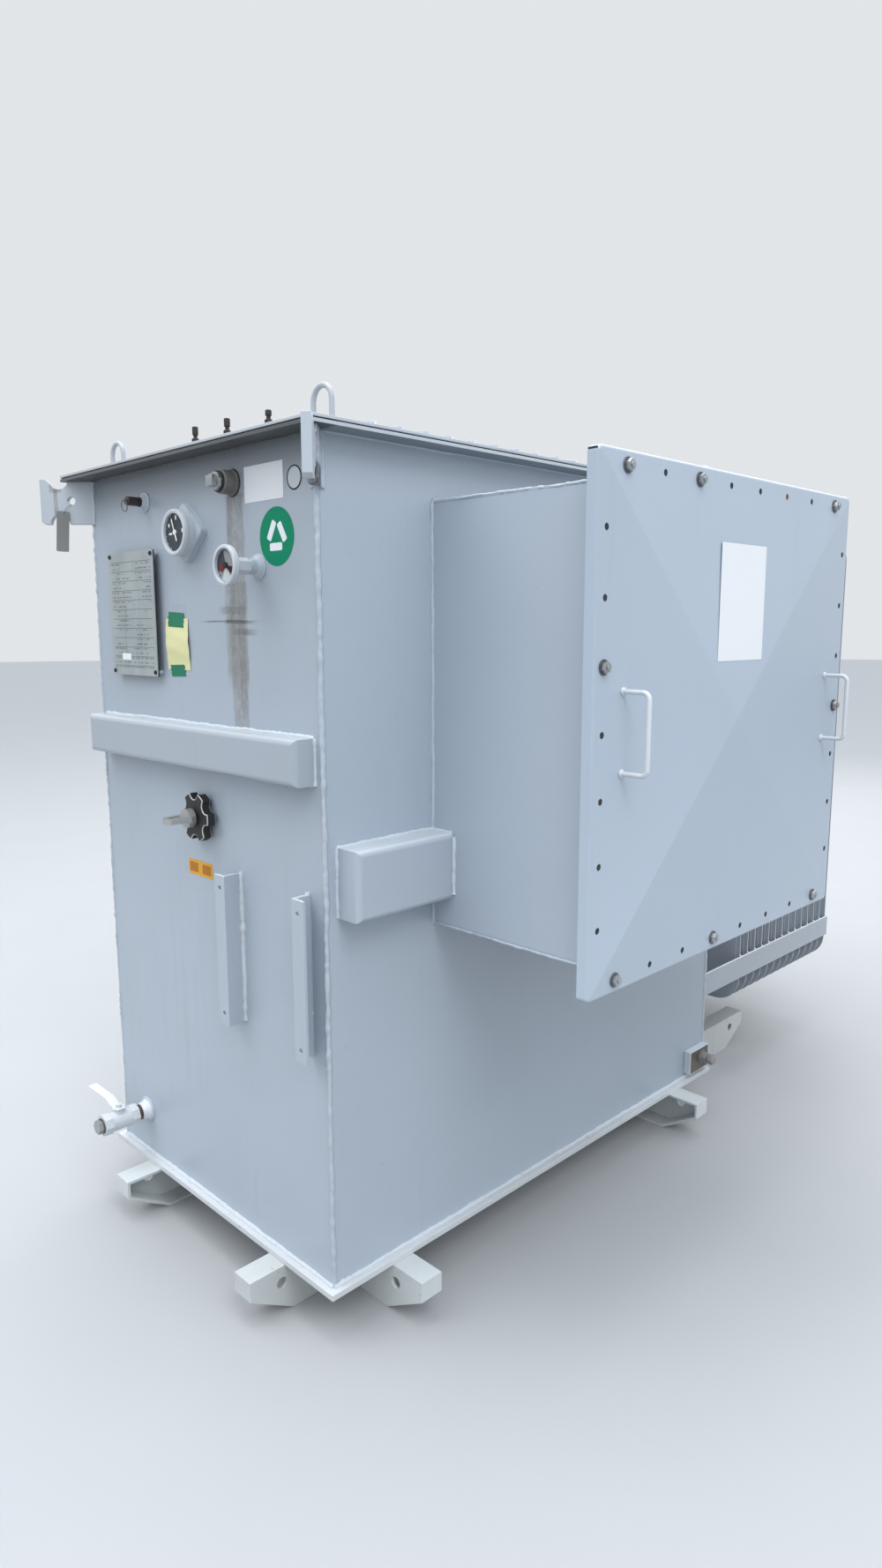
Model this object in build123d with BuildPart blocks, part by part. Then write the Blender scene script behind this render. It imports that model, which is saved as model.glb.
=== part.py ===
"""Liquid-filled substation transformer: tank, bolted cover, side throat, radiator bank and skid base."""
import os
from math import cos, radians, sin

from build123d import *

os.makedirs("parts", exist_ok=True)

# Tank shell
tank_width = 762.0
tank_depth = 1244.0
wall_height = 1455.0
wall_thick = 6.0
base_thick = 12.0
base_lip = 16.0

# Rim flange, gasket and bolted cover
rim_overhang = 45.0
rim_thick = 6.0
gasket_thick = 2.0
gasket_setback = 3.0
cover_thick = 5.0

# Skid base made of folded channels with raised noses
channel_height = 95.0
channel_width = 50.0
channel_sheet = 6.0
channel_inset = 127.0
channel_reach = 92.0
nose_height = 38.0
nose_length = 95.0
skid_tail = 456.0
tie_hole = 22.0
tie_hole_from_end = 70.0
tie_hole_drop = 33.0

# Lifting lugs on the four corners
lug_thick = 16.0
lug_reach = 104.0
lug_height = 86.0
lug_horn_rise = 5.0
lug_horn_width = 12.0
lug_saddle_radius = 20.0
lug_saddle_at = 65.0
lug_saddle_depth = 15.0
lug_hole = 17.0
lug_hole_at = 40.0
lug_hole_drop = 39.0

# Rod loops and small bushings on the cover
loop_rod = 9.5
loop_width = 47.0
loop_height = 70.0
loop_inset_x = 38.0
loop_inset_y = 45.0
bushing_setback = 118.0
bushing_places = (222.0, 337.0, 473.0)
bushing_base = 54.0
bushing_body = 34.0
bushing_height = 46.0
stud_width = 12.0
stud_height = 36.0

# Throat on the right wall, with its folded and cross-broken cover
throat_overhang = 41.0
throat_depth = 369.0
throat_sheet = 5.0
throat_from_front = 635.0
throat_mid_height = 993.0
throat_flange_thick = 10.0
pan_width = 854.0
pan_height = 837.0
pan_sheet = 3.0
pan_return = 21.0
pan_corner = 9.0
pan_fold = 5.0
pan_rise = 4.0
pan_bolt_margin = 22.5
bolt_pitch = 101.6
bolt_hole = 11.0
row_bolts = 8
column_bolts = 7
pan_clearance = 2.0

# Rod handles on the throat cover
handle_rod = 8.0
handle_span = 127.0
handle_reach = 52.0
handle_bend = 11.0
handle_inset = 74.0

# Folded box braces
brace_sheet = 4.0
end_brace_depth = 43.0
end_brace_height = 78.0
end_brace_bottom = 898.0
end_brace_inset = 20.0
side_brace_depth = 55.0
side_brace_height = 121.0
side_brace_bottom = 672.0
side_brace_inset = 25.0
brace_bend = 10.0

# Angle rails low on the front wall
angle_reach = 37.0
angle_leg = 32.0
angle_thick = 5.0
angle_length = 286.0
angle_bottom = 423.0
angle_from_right = 45.5
angle_gap = 203.5
angle_hole = 9.0
angle_hole_inset = 23.0

# Liquid level gauge
level_at = 383.0
level_up = 1325.0
level_flange_tall = 112.0
level_flange_wide = 126.0
level_flange_thick = 6.5
level_flange_corner = 8.0
level_body = 78.0
level_depth = 35.0
level_bezel = 83.0
level_bezel_thick = 10.0
level_glass = 68.0
level_glass_drop = 4.0

# Dial thermometer
dial_at = 598.5
dial_up = 1255.5
dial_bezel = 67.0
dial_bezel_thick = 11.0
dial_depth = 69.0
dial_glass_drop = 4.0
dial_stem = 20.0
dial_nut = 25.0
dial_nut_start = 22.0
dial_nut_end = 46.0
well_wide = 40.0
well_narrow = 27.0

# Pressure relief valve and fill plug
relief_at = 224.0
relief_up = 1394.0
relief_boss = 34.0
relief_boss_depth = 11.0
relief_barrel = 17.0
relief_depth = 44.0
relief_nose = 8.0
fill_at = 529.5
fill_up = 1399.0
fill_boss = 40.0
fill_boss_depth = 27.0
fill_collar = 35.0
fill_collar_depth = 4.5
fill_hex = 30.0
fill_hex_depth = 5.5
fill_square = 20.0
fill_depth = 48.0

# Nameplate on stand-off studs
plate_width = 181.0
plate_height = 243.0
plate_thick = 1.5
plate_left = 88.0
plate_bottom = 1061.0
plate_standoff = 13.0
plate_stud = 8.0
plate_stud_inset = 8.0

# Drain valve
drain_at = 107.0
drain_up = 98.0
drain_boss = 50.0
drain_boss_depth = 20.0
drain_nipple = 33.0
drain_nipple_depth = 10.0
drain_body = 40.0
drain_hex = 44.0
drain_hex_depth = 17.0
drain_body_depth = 78.0
drain_plug_depth = 13.0
drain_plug_size = 27.0
stem_width = 12.0
bonnet_width = 22.0
bonnet_height = 7.0
stem_height = 16.0
lever_length = 138.0
lever_width = 20.0
lever_thick = 3.0
lever_eye = 26.0
lever_bore_gap = 0.3
lever_lift = 8.0
lever_step = 20.0
lever_step_at = 22.0

# Tap changer
tap_at = 398.0
tap_up = 802.0
tap_boss = 52.0
tap_boss_depth = 7.0
tap_disc = 94.0
tap_disc_thick = 18.0
tap_lobes = 6
tap_scallop = 13.0
tap_lobe_turn = 30.0
tap_lobe_edge = 3.0
tap_shaft = 14.0
tap_gap = 5.5
tap_socket = 9.0
tap_hub = 36.0
tap_hub_depth = 13.0
tap_blade_reach = 56.0
tap_blade_thick = 11.0
tap_tip = 26.0
tap_tip_edge = 8.0
tap_slot = 7.0
tap_slot_length = 26.0

# Ground pad
pad_width = 88.0
pad_height = 60.0
pad_thick = 19.0
pad_up = 12.0
pad_edge_gap = 2.0
pad_hole = 13.0
pad_hole_inset = 28.0

# Radiator bank behind the tank
fin_count = 14
fin_pitch = 41.5
fin_first = 196.0
fin_up = 118.0
fin_drop = 37.0
fin_thick = 9.0
fin_seam = 12.0
fin_seam_thick = 2.5
fin_corner = 45.0
flute_count = 8
flute_groove = 9.0
flute_groove_depth = 2.2
flute_end = 165.0
header_width = 76.0
header_spacing = 374.0
header_from_end = 95.0
header_flange = 120.0
header_flange_thick = 12.0
strap_height = 60.0
strap_thick = 6.0
strap_up = 195.0
strap_past = 6.0

# Clearance between pieces that are seated but not joined
seat = 0.3

# Sizes that follow from those above
throat_width = pan_width - 2 * throat_overhang
throat_height = pan_height - 2 * throat_overhang
fin_height = wall_height - fin_up - fin_drop
angle_left_at = tank_width - angle_from_right - angle_gap

# Places of the tank's walls, with the origin on the ground under the middle of the whole outline
left_extent = tank_width / 2 + channel_reach
right_extent = tank_width / 2 + throat_depth + throat_flange_thick + pan_sheet + handle_reach
drain_length = drain_boss_depth + drain_nipple_depth + drain_body_depth + drain_plug_depth
front_extent = tank_depth / 2 + drain_length
strap_length = fin_first + (fin_count - 1) * fin_pitch + strap_past
rear_extent = tank_depth / 2 + strap_length
tank_x = (left_extent - right_extent) / 2
tank_y = (front_extent - rear_extent) / 2
left_x = tank_x - tank_width / 2
right_x = tank_x + tank_width / 2
front_y = tank_y - tank_depth / 2
rear_y = tank_y + tank_depth / 2

# Levels above the ground
floor_z = channel_height
wall_z = floor_z + base_thick
rim_z = wall_z + wall_height
gasket_z = rim_z + rim_thick
cover_z = gasket_z + gasket_thick
top_z = cover_z + cover_thick


def front_plane(across, up, out=0.0):
    """A plane on the front wall: across from the left edge, up from the wall's foot."""
    return Plane(origin=(left_x + across, front_y - out, wall_z + up), x_dir=(1, 0, 0), z_dir=(0, -1, 0))


def right_plane(back, up, out=0.0):
    """A plane on the right wall: back from the front edge, up from the wall's foot."""
    return Plane(origin=(right_x + out, front_y + back, wall_z + up), x_dir=(0, 1, 0), z_dir=(1, 0, 0))


def save(node, label):
    """Label one finished piece and write its file."""
    node.part.label = label
    export_step(node.part, f"parts/{label}.step")


# Base plate
with BuildPart() as base_plate:
    with BuildSketch(Plane.XY.offset(floor_z)):
        with Locations((tank_x, tank_y)):
            Rectangle(tank_width + 2 * base_lip, tank_depth + 2 * base_lip)
    extrude(amount=base_thick)
save(base_plate, "base_plate")


# Skid base
def nose_outline(start, end):
    """Side view of a channel whose ends rise from the ground as noses."""
    return [
        (start, channel_height),
        (start, channel_height - nose_height),
        (start + nose_length, 0),
        (end - nose_length, 0),
        (end, channel_height - nose_height),
        (end, channel_height),
    ]


def channel(plane, start, end, side):
    """Folded channel with closed noses; side is +1 or -1 for the way its flanges point."""
    with BuildPart() as piece:
        with BuildSketch(plane):
            with BuildLine():
                Polyline(*nose_outline(start, end), close=True)
            make_face()
        extrude(amount=side * channel_width)
        with BuildSketch(plane.offset(side * channel_sheet)):
            with BuildLine():
                Polyline(*nose_outline(start, end), close=True)
            make_face()
            offset(amount=-channel_sheet, kind=Kind.INTERSECTION, mode=Mode.REPLACE)
        extrude(amount=side * channel_width, mode=Mode.SUBTRACT)
        with BuildSketch(plane):
            with Locations((start + tie_hole_from_end, channel_height - tie_hole_drop),
                           (end - tie_hole_from_end, channel_height - tie_hole_drop)):
                Circle(tie_hole / 2)
        extrude(amount=side * channel_sheet, mode=Mode.SUBTRACT)
    return piece


skid_web_left = left_x + channel_inset
skid_web_right = right_x - channel_inset
skid_start = front_y - channel_reach
skid_end = rear_y + skid_tail
for name, web_x, side in (("left", skid_web_left, 1), ("right", skid_web_right, -1)):
    web_plane = Plane(origin=(web_x, 0, 0), x_dir=(0, 1, 0), z_dir=(1, 0, 0))
    skid = channel(web_plane, skid_start, skid_end, side)
    save(skid, f"skid_channel_{name}")

cross_start = left_x - channel_reach
cross_end = right_x + channel_reach
for name, web_y, side in (("front", front_y + channel_inset, -1), ("rear", rear_y - channel_inset, 1)):
    web_plane = Plane(origin=(0, web_y, 0), x_dir=(1, 0, 0), z_dir=(0, -1, 0))
    whole = channel(web_plane, cross_start, cross_end, side)
    with BuildPart() as cross:
        add(whole.part)
        with BuildSketch(Plane.XY):
            with Locations((skid_web_left + channel_width / 2, web_y),
                           (skid_web_right - channel_width / 2, web_y)):
                Rectangle(channel_width, 4 * channel_width)
        extrude(amount=channel_height, mode=Mode.SUBTRACT)
    save(cross, f"cross_channel_{name}")

# Tank walls
for name, wall_y in (("front", front_y + wall_thick / 2), ("rear", rear_y - wall_thick / 2)):
    with BuildPart() as end_wall:
        with BuildSketch(Plane.XY.offset(wall_z)):
            with Locations((tank_x, wall_y)):
                Rectangle(tank_width, wall_thick)
        extrude(amount=wall_height)
    save(end_wall, f"{name}_wall")

for name, wall_x in (("left", left_x + wall_thick / 2), ("right", right_x - wall_thick / 2)):
    with BuildPart() as side_wall:
        with BuildSketch(Plane.XY.offset(wall_z)):
            with Locations((wall_x, tank_y)):
                Rectangle(wall_thick, tank_depth - 2 * wall_thick)
        extrude(amount=wall_height)
    save(side_wall, f"{name}_wall")

# Rim flange, gasket and cover
rim_bar = rim_overhang + wall_thick
rim_span = tank_width + 2 * rim_overhang
with BuildPart() as rim_ends:
    with BuildSketch(Plane.XY.offset(rim_z)):
        with Locations((tank_x, tank_y)):
            with GridLocations(0, tank_depth - 2 * wall_thick + rim_bar, 1, 2):
                Rectangle(rim_span, rim_bar)
    extrude(amount=rim_thick)
save(rim_ends, "rim_flange_ends")

with BuildPart() as rim_sides:
    with BuildSketch(Plane.XY.offset(rim_z)):
        with Locations((tank_x, tank_y)):
            with GridLocations(tank_width - 2 * wall_thick + rim_bar, 0, 2, 1):
                Rectangle(rim_bar, tank_depth - 2 * wall_thick)
    extrude(amount=rim_thick)
save(rim_sides, "rim_flange_sides")

strip = rim_bar - gasket_setback
with BuildPart() as gasket:
    with BuildSketch(Plane.XY.offset(gasket_z)):
        with Locations((tank_x, tank_y)):
            with GridLocations(0, tank_depth - 2 * wall_thick + strip, 1, 2):
                Rectangle(rim_span - 2 * gasket_setback, strip)
            with GridLocations(tank_width - 2 * wall_thick + strip, 0, 2, 1):
                Rectangle(strip, tank_depth - 2 * wall_thick - 2 * seat)
    extrude(amount=gasket_thick)
save(gasket, "cover_gasket")

with BuildPart() as cover:
    with BuildSketch(Plane.XY.offset(cover_z)):
        with Locations((tank_x, tank_y)):
            Rectangle(tank_width + 2 * rim_overhang, tank_depth + 2 * rim_overhang)
    extrude(amount=cover_thick)
save(cover, "tank_cover")

# Lifting lugs, standing out from the corners at 45 degrees
corners = [
    (left_x, front_y, -1, -1),
    (right_x, front_y, 1, -1),
    (left_x, rear_y, -1, 1),
    (right_x, rear_y, 1, 1),
]
half_root = cos(radians(45))


def lug_outline():
    """Outline in the lug's own plane: across outwards from the corner, up from the rim's underside."""
    rise_ratio = (lug_saddle_radius - lug_saddle_depth) / lug_saddle_radius
    lip = lug_saddle_radius * (1 - rise_ratio ** 2) ** 0.5
    saddle_in = lug_saddle_at - lip
    saddle_out = lug_saddle_at + lug_saddle_radius * cos(radians(30))
    saddle_up = lug_saddle_radius * sin(radians(30))
    with BuildSketch() as flat:
        with BuildLine():
            run_in = Polyline((-lug_thick, -lug_height), (-lug_thick, 0), (saddle_in, 0))
            dip = ThreePointArc(run_in @ 1, (lug_saddle_at, -lug_saddle_depth),
                                (saddle_out, -lug_saddle_depth + lug_saddle_radius - saddle_up))
            horn = Polyline(dip @ 1, (lug_reach - lug_horn_width, lug_horn_rise),
                            (lug_reach, lug_horn_rise), (lug_reach, -lug_height + lug_horn_width / 2),
                            (lug_reach - lug_horn_width / 2, -lug_height),
                            (lug_saddle_at + lug_saddle_radius, -lug_height))
            ThreePointArc(horn @ 1, (lug_saddle_at, lug_saddle_radius - lug_height),
                          (lug_saddle_at - lug_saddle_radius, -lug_height))
            Line((lug_saddle_at - lug_saddle_radius, -lug_height), run_in @ 0)
        make_face()
        with Locations((lug_hole_at, -lug_hole_drop)):
            Circle(lug_hole / 2, mode=Mode.SUBTRACT)
    return flat.sketch


with BuildPart() as lugs:
    for corner_x, corner_y, way_x, way_y in corners:
        out = Vector(way_x * half_root, way_y * half_root, 0)
        lug_plane = Plane(origin=(corner_x, corner_y, rim_z), x_dir=out, z_dir=out.cross(Vector(0, 0, 1)))
        with BuildSketch(lug_plane):
            add(lug_outline())
        extrude(amount=lug_thick / 2, both=True)
    with BuildSketch(Plane.XY.offset(wall_z)):
        with Locations((tank_x, tank_y)):
            Rectangle(tank_width, tank_depth)
    extrude(amount=wall_height, mode=Mode.SUBTRACT)
save(lugs, "lifting_lugs")

# Rod loops on the cover
with BuildPart() as loops:
    for corner_x, corner_y, way_x, way_y in corners:
        mid_x = corner_x - way_x * loop_inset_x
        mid_y = corner_y - way_y * loop_inset_y
        bow = loop_width / 2
        shoulder = loop_height - loop_rod / 2 - bow
        with BuildLine(Plane(origin=(mid_x, mid_y, top_z), x_dir=(1, 0, 0), z_dir=(0, -1, 0))) as path:
            rise = Line((-bow, 0), (-bow, shoulder))
            arch = ThreePointArc(rise @ 1, (0, shoulder + bow), (bow, shoulder))
            Line(arch @ 1, (bow, 0))
        with BuildSketch(Plane(origin=rise @ 0, z_dir=(0, 0, 1))):
            Circle(loop_rod / 2)
        sweep(path=path.wires()[0])
save(loops, "cover_loops")

# Small bushings on the cover
bushing_spots = [(left_x + place, front_y + bushing_setback) for place in bushing_places]
with BuildPart() as bushings:
    with Locations(*[(x, y, top_z) for x, y in bushing_spots]):
        Cylinder(bushing_base / 2, bushing_height * 0.2, align=(Align.CENTER, Align.CENTER, Align.MIN))
        Cone(bushing_body / 2, stud_width * 0.8, bushing_height,
             align=(Align.CENTER, Align.CENTER, Align.MIN))
    with Locations(*[(x, y, top_z + bushing_height * 0.45) for x, y in bushing_spots]):
        Cone(bushing_body * 0.62, bushing_body * 0.42, bushing_height * 0.18)
save(bushings, "cover_bushings")

with BuildPart() as studs:
    with Locations(*[(x, y, top_z + bushing_height) for x, y in bushing_spots]):
        Cylinder(stud_width * 0.36, stud_height, align=(Align.CENTER, Align.CENTER, Align.MIN))
        Cone(stud_width * 0.62, stud_width * 0.45, stud_height * 0.45,
             align=(Align.CENTER, Align.CENTER, Align.MIN))
    with BuildSketch(Plane.XY.offset(top_z + bushing_height + stud_height * 0.6)):
        with Locations(*bushing_spots):
            RegularPolygon(stud_width / 2, 6, major_radius=False)
    extrude(amount=stud_height * 0.4)
save(studs, "bushing_studs")

# Throat duct and its flange
throat_mid = right_plane(throat_from_front, throat_mid_height)
flange_width = pan_width - 2 * (pan_sheet + pan_clearance)
flange_height = pan_height - 2 * (pan_sheet + pan_clearance)
inner_width = throat_width - 2 * throat_sheet
inner_height = throat_height - 2 * throat_sheet
with BuildPart() as duct_level:
    with BuildSketch(throat_mid):
        with GridLocations(0, throat_height - throat_sheet, 1, 2):
            Rectangle(throat_width, throat_sheet)
    extrude(amount=throat_depth)
save(duct_level, "throat_roof_and_floor")

with BuildPart() as duct_upright:
    with BuildSketch(throat_mid):
        with GridLocations(throat_width - throat_sheet, 0, 2, 1):
            Rectangle(throat_sheet, inner_height)
    extrude(amount=throat_depth)
save(duct_upright, "throat_sides")

row_offset = pan_height / 2 - pan_bolt_margin
column_offset = pan_width / 2 - pan_bolt_margin
row_places = [((i - (row_bolts - 1) / 2) * bolt_pitch, side * row_offset)
              for side in (1, -1) for i in range(row_bolts)]
column_places = [(side * column_offset, (i - (column_bolts - 1) / 2) * bolt_pitch)
                 for side in (-1, 1) for i in range(column_bolts)]
# Order: top row, bottom row from the front; front column, rear column from the bottom
fitted_bolts = (0, 2, 7, row_bolts + 0, row_bolts + 3, row_bolts + 7,
                2 * row_bolts + 4, 2 * row_bolts + column_bolts + 3)
open_holes = [place for i, place in enumerate(row_places + column_places) if i not in fitted_bolts]

flange_bar_rows = (flange_height - inner_height) / 2
flange_bar_columns = (flange_width - inner_width) / 2
with BuildPart() as flange_rows:
    with BuildSketch(throat_mid.offset(throat_depth)):
        with GridLocations(0, flange_height - flange_bar_rows, 1, 2):
            Rectangle(flange_width, flange_bar_rows)
        with Locations(*open_holes):
            Circle(bolt_hole / 2, mode=Mode.SUBTRACT)
    extrude(amount=throat_flange_thick)
save(flange_rows, "throat_flange_level_bars")

with BuildPart() as flange_columns:
    with BuildSketch(throat_mid.offset(throat_depth)):
        with GridLocations(flange_width - flange_bar_columns, 0, 2, 1):
            Rectangle(flange_bar_columns, inner_height)
        with Locations(*open_holes):
            Circle(bolt_hole / 2, mode=Mode.SUBTRACT)
    extrude(amount=throat_flange_thick)
save(flange_columns, "throat_flange_upright_bars")

# Cross-broken cover: a folded pan whose face rises to a low point in the middle
pan_back = throat_mid.offset(throat_depth + throat_flange_thick)
pan_border = pan_bolt_margin + bolt_hole
pan_face = throat_depth + throat_flange_thick + pan_sheet
with BuildPart() as pan:
    with BuildSketch(pan_back.offset(pan_sheet - pan_return)):
        RectangleRounded(pan_width, pan_height, pan_corner)
    extrude(amount=pan_return)
    fillet(pan.faces().sort_by(Axis.X)[-1].edges(), radius=pan_fold)
    with BuildSketch(pan_back.offset(pan_sheet - pan_return)):
        RectangleRounded(pan_width - 2 * pan_sheet, pan_height - 2 * pan_sheet, pan_corner - pan_sheet)
    extrude(amount=pan_return - pan_sheet, mode=Mode.SUBTRACT)
    with BuildSketch(pan_back.offset(pan_sheet)):
        Rectangle(pan_width - 2 * pan_border, pan_height - 2 * pan_border)
    with BuildSketch(pan_back.offset(pan_sheet + pan_rise)):
        Rectangle(pan_rise, pan_rise)
    loft(ruled=True)
    with BuildSketch(pan_back):
        with Locations(*open_holes):
            Circle(bolt_hole / 2)
    extrude(amount=pan_sheet, mode=Mode.SUBTRACT)
save(pan, "throat_cover")

# Handles on the throat cover
handle_across = pan_width / 2 - handle_inset
handle_lift = pan_rise * (handle_inset + handle_rod - pan_border) / (pan_width / 2 - pan_border) + seat
with BuildPart() as handles:
    for side in (-1, 1):
        foot = right_plane(throat_from_front + side * handle_across, throat_mid_height, pan_face + handle_lift)
        reach = handle_reach - handle_rod / 2 - handle_lift
        with BuildLine(Plane(origin=foot.origin, x_dir=(1, 0, 0), z_dir=(0, -1, 0))) as path:
            grip = FilletPolyline((0, handle_span / 2), (reach, handle_span / 2),
                                  (reach, -handle_span / 2), (0, -handle_span / 2), radius=handle_bend)
        with BuildSketch(Plane(origin=grip @ 0, z_dir=(1, 0, 0))):
            Circle(handle_rod / 2)
        sweep(path=path.wires()[0])
save(handles, "throat_handles")


# Folded braces on the walls
def brace(plane, length, height, depth):
    """Box brace of folded sheet, open towards its wall; the plane lies on the wall at its middle."""
    with BuildPart() as piece:
        with BuildSketch(plane):
            Rectangle(length, height)
        extrude(amount=depth)
        outer = piece.faces().sort_by(Axis(plane.origin, plane.z_dir))[-1]
        fillet(outer.edges(), radius=brace_bend)
        wall_face = piece.faces().sort_by(Axis(plane.origin, plane.z_dir))[0]
        offset(amount=-brace_sheet, openings=[wall_face])
    return piece


end_brace_mid = end_brace_bottom + end_brace_height / 2
end_brace_length = tank_width - 2 * end_brace_inset
front_brace = brace(front_plane(tank_width / 2, end_brace_mid), end_brace_length,
                    end_brace_height, end_brace_depth)
save(front_brace, "front_brace")
rear_plane = Plane(origin=(tank_x, rear_y, wall_z + end_brace_mid), x_dir=(-1, 0, 0), z_dir=(0, 1, 0))
rear_brace = brace(rear_plane, end_brace_length, end_brace_height, end_brace_depth)
save(rear_brace, "rear_brace")

side_brace_mid = side_brace_bottom + side_brace_height / 2
throat_front = throat_from_front - throat_width / 2
throat_rear = throat_from_front + throat_width / 2
spans = [(side_brace_inset, throat_front), (throat_rear, tank_depth - side_brace_inset)]
with BuildPart() as side_braces:
    for start, end in spans:
        half = brace(right_plane((start + end) / 2, side_brace_mid), end - start,
                     side_brace_height, side_brace_depth)
        add(half.part)
save(side_braces, "side_braces")
left_plane = Plane(origin=(left_x, tank_y, wall_z + side_brace_mid), x_dir=(0, -1, 0), z_dir=(-1, 0, 0))
left_brace = brace(left_plane, tank_depth - 2 * side_brace_inset, side_brace_height, side_brace_depth)
save(left_brace, "left_brace")

# Angle rails on the front wall, with their outer legs turned away from each other
with BuildPart() as rails:
    for across, way in ((angle_left_at, -1), (angle_left_at + angle_gap, 1)):
        with BuildSketch(Plane.XY.offset(wall_z + angle_bottom)):
            with BuildLine():
                edge_x = left_x + across
                tip_y = front_y - angle_reach
                Polyline((edge_x, front_y), (edge_x, tip_y), (edge_x + way * angle_leg, tip_y),
                         (edge_x + way * angle_leg, tip_y + angle_thick),
                         (edge_x + way * angle_thick, tip_y + angle_thick),
                         (edge_x + way * angle_thick, front_y), close=True)
            make_face()
        extrude(amount=angle_length)
        hole_across = across + way * angle_leg / 2
        with BuildSketch(front_plane(hole_across, angle_bottom, angle_reach)):
            with Locations((0, angle_hole_inset), (0, angle_length - angle_hole_inset)):
                Circle(angle_hole / 2)
        extrude(amount=-angle_thick, mode=Mode.SUBTRACT)
save(rails, "angle_rails")

# Liquid level gauge on a diamond flange
with BuildPart() as level_flange:
    with BuildSketch(front_plane(level_at, level_up)) as diamond:
        with BuildLine():
            Polyline((0, level_flange_tall / 2), (-level_flange_wide / 2, 0), (0, -level_flange_tall / 2),
                     (level_flange_wide / 2, 0), close=True)
        make_face()
        fillet(diamond.vertices(), radius=level_flange_corner)
    extrude(amount=2 * level_flange_thick)
save(level_flange, "level_gauge_flange")

with BuildPart() as level_gauge:
    with BuildSketch(front_plane(level_at, level_up, 2 * level_flange_thick)):
        Circle(level_body / 2)
    extrude(amount=level_depth - 2 * level_flange_thick - level_bezel_thick)
    with BuildSketch(front_plane(level_at, level_up, level_depth - level_bezel_thick)):
        Circle(level_bezel / 2)
    extrude(amount=level_bezel_thick)
    with BuildSketch(front_plane(level_at, level_up, level_depth)):
        Circle(level_glass / 2)
    extrude(amount=-level_glass_drop, mode=Mode.SUBTRACT)
save(level_gauge, "level_gauge")

# Dial thermometer in its flared well
with BuildPart() as well:
    with BuildSketch(front_plane(dial_at, dial_up)):
        Circle(well_wide / 2)
    with BuildSketch(front_plane(dial_at, dial_up, dial_nut_start)):
        Circle(well_narrow / 2)
    loft()
save(well, "temperature_well")

with BuildPart() as dial:
    with BuildSketch(front_plane(dial_at, dial_up, dial_nut_start)):
        RegularPolygon(dial_nut / 2, 6, major_radius=False)
    extrude(amount=dial_nut_end - dial_nut_start)
    with BuildSketch(front_plane(dial_at, dial_up, dial_nut_end)):
        Circle(dial_stem / 2)
    extrude(amount=dial_depth - dial_nut_end - dial_bezel_thick)
    with BuildSketch(front_plane(dial_at, dial_up, dial_depth - dial_bezel_thick)):
        Circle(dial_bezel / 2)
    extrude(amount=dial_bezel_thick)
    with BuildSketch(front_plane(dial_at, dial_up, dial_depth)):
        Circle(dial_bezel / 2 - dial_glass_drop)
    extrude(amount=-dial_glass_drop, mode=Mode.SUBTRACT)
save(dial, "temperature_gauge")

# Pressure relief valve
with BuildPart() as relief:
    with BuildSketch(front_plane(relief_at, relief_up)):
        Circle(relief_boss / 2)
    with BuildSketch(front_plane(relief_at, relief_up, relief_boss_depth)):
        Circle(relief_boss / 2 - relief_boss_depth / 2)
    loft()
    with BuildSketch(front_plane(relief_at, relief_up, relief_boss_depth)):
        Circle(relief_barrel / 2)
    extrude(amount=relief_depth - relief_boss_depth - relief_nose / 2)
    with BuildSketch(front_plane(relief_at, relief_up, relief_depth - relief_nose / 2)):
        Circle(relief_nose / 2)
    extrude(amount=relief_nose / 2)
save(relief, "relief_valve")

# Fill coupling and plug
with BuildPart() as fill_boss_piece:
    with BuildSketch(front_plane(fill_at, fill_up)):
        Circle(fill_boss / 2)
    extrude(amount=fill_boss_depth)
    chamfer(fill_boss_piece.faces().sort_by(Axis.Y)[0].edges(), length=(fill_boss - fill_collar) / 2)
save(fill_boss_piece, "fill_coupling")

with BuildPart() as fill_plug:
    with BuildSketch(front_plane(fill_at, fill_up, fill_boss_depth)):
        Circle(fill_collar / 2)
    extrude(amount=fill_collar_depth)
    with BuildSketch(front_plane(fill_at, fill_up, fill_boss_depth + fill_collar_depth)):
        RegularPolygon(fill_hex / 2, 6, major_radius=False)
    extrude(amount=fill_hex_depth)
    with BuildSketch(front_plane(fill_at, fill_up, fill_boss_depth + fill_collar_depth + fill_hex_depth)):
        Rectangle(fill_square, fill_square)
    extrude(amount=fill_depth - fill_boss_depth - fill_collar_depth - fill_hex_depth)
save(fill_plug, "fill_plug")

# Nameplate and its studs
name_mid = front_plane(plate_left + plate_width / 2, plate_bottom + plate_height / 2)
with BuildPart() as nameplate:
    with BuildSketch(name_mid.offset(plate_standoff)):
        Rectangle(plate_width, plate_height)
    extrude(amount=plate_thick)
save(nameplate, "nameplate")

with BuildPart() as name_studs:
    with BuildSketch(name_mid):
        with GridLocations(plate_width - 2 * plate_stud_inset, plate_height - 2 * plate_stud_inset, 2, 2):
            Circle(plate_stud / 2)
    extrude(amount=plate_standoff)
save(name_studs, "nameplate_studs")

# Drain valve, closed, with its lever across the pipe
with BuildPart() as drain_boss_piece:
    with BuildSketch(front_plane(drain_at, drain_up)):
        Circle(drain_boss / 2)
    extrude(amount=drain_boss_depth)
    with BuildSketch(front_plane(drain_at, drain_up, drain_boss_depth)):
        Circle(drain_nipple / 2)
    extrude(amount=drain_nipple_depth)
save(drain_boss_piece, "drain_coupling")

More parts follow.
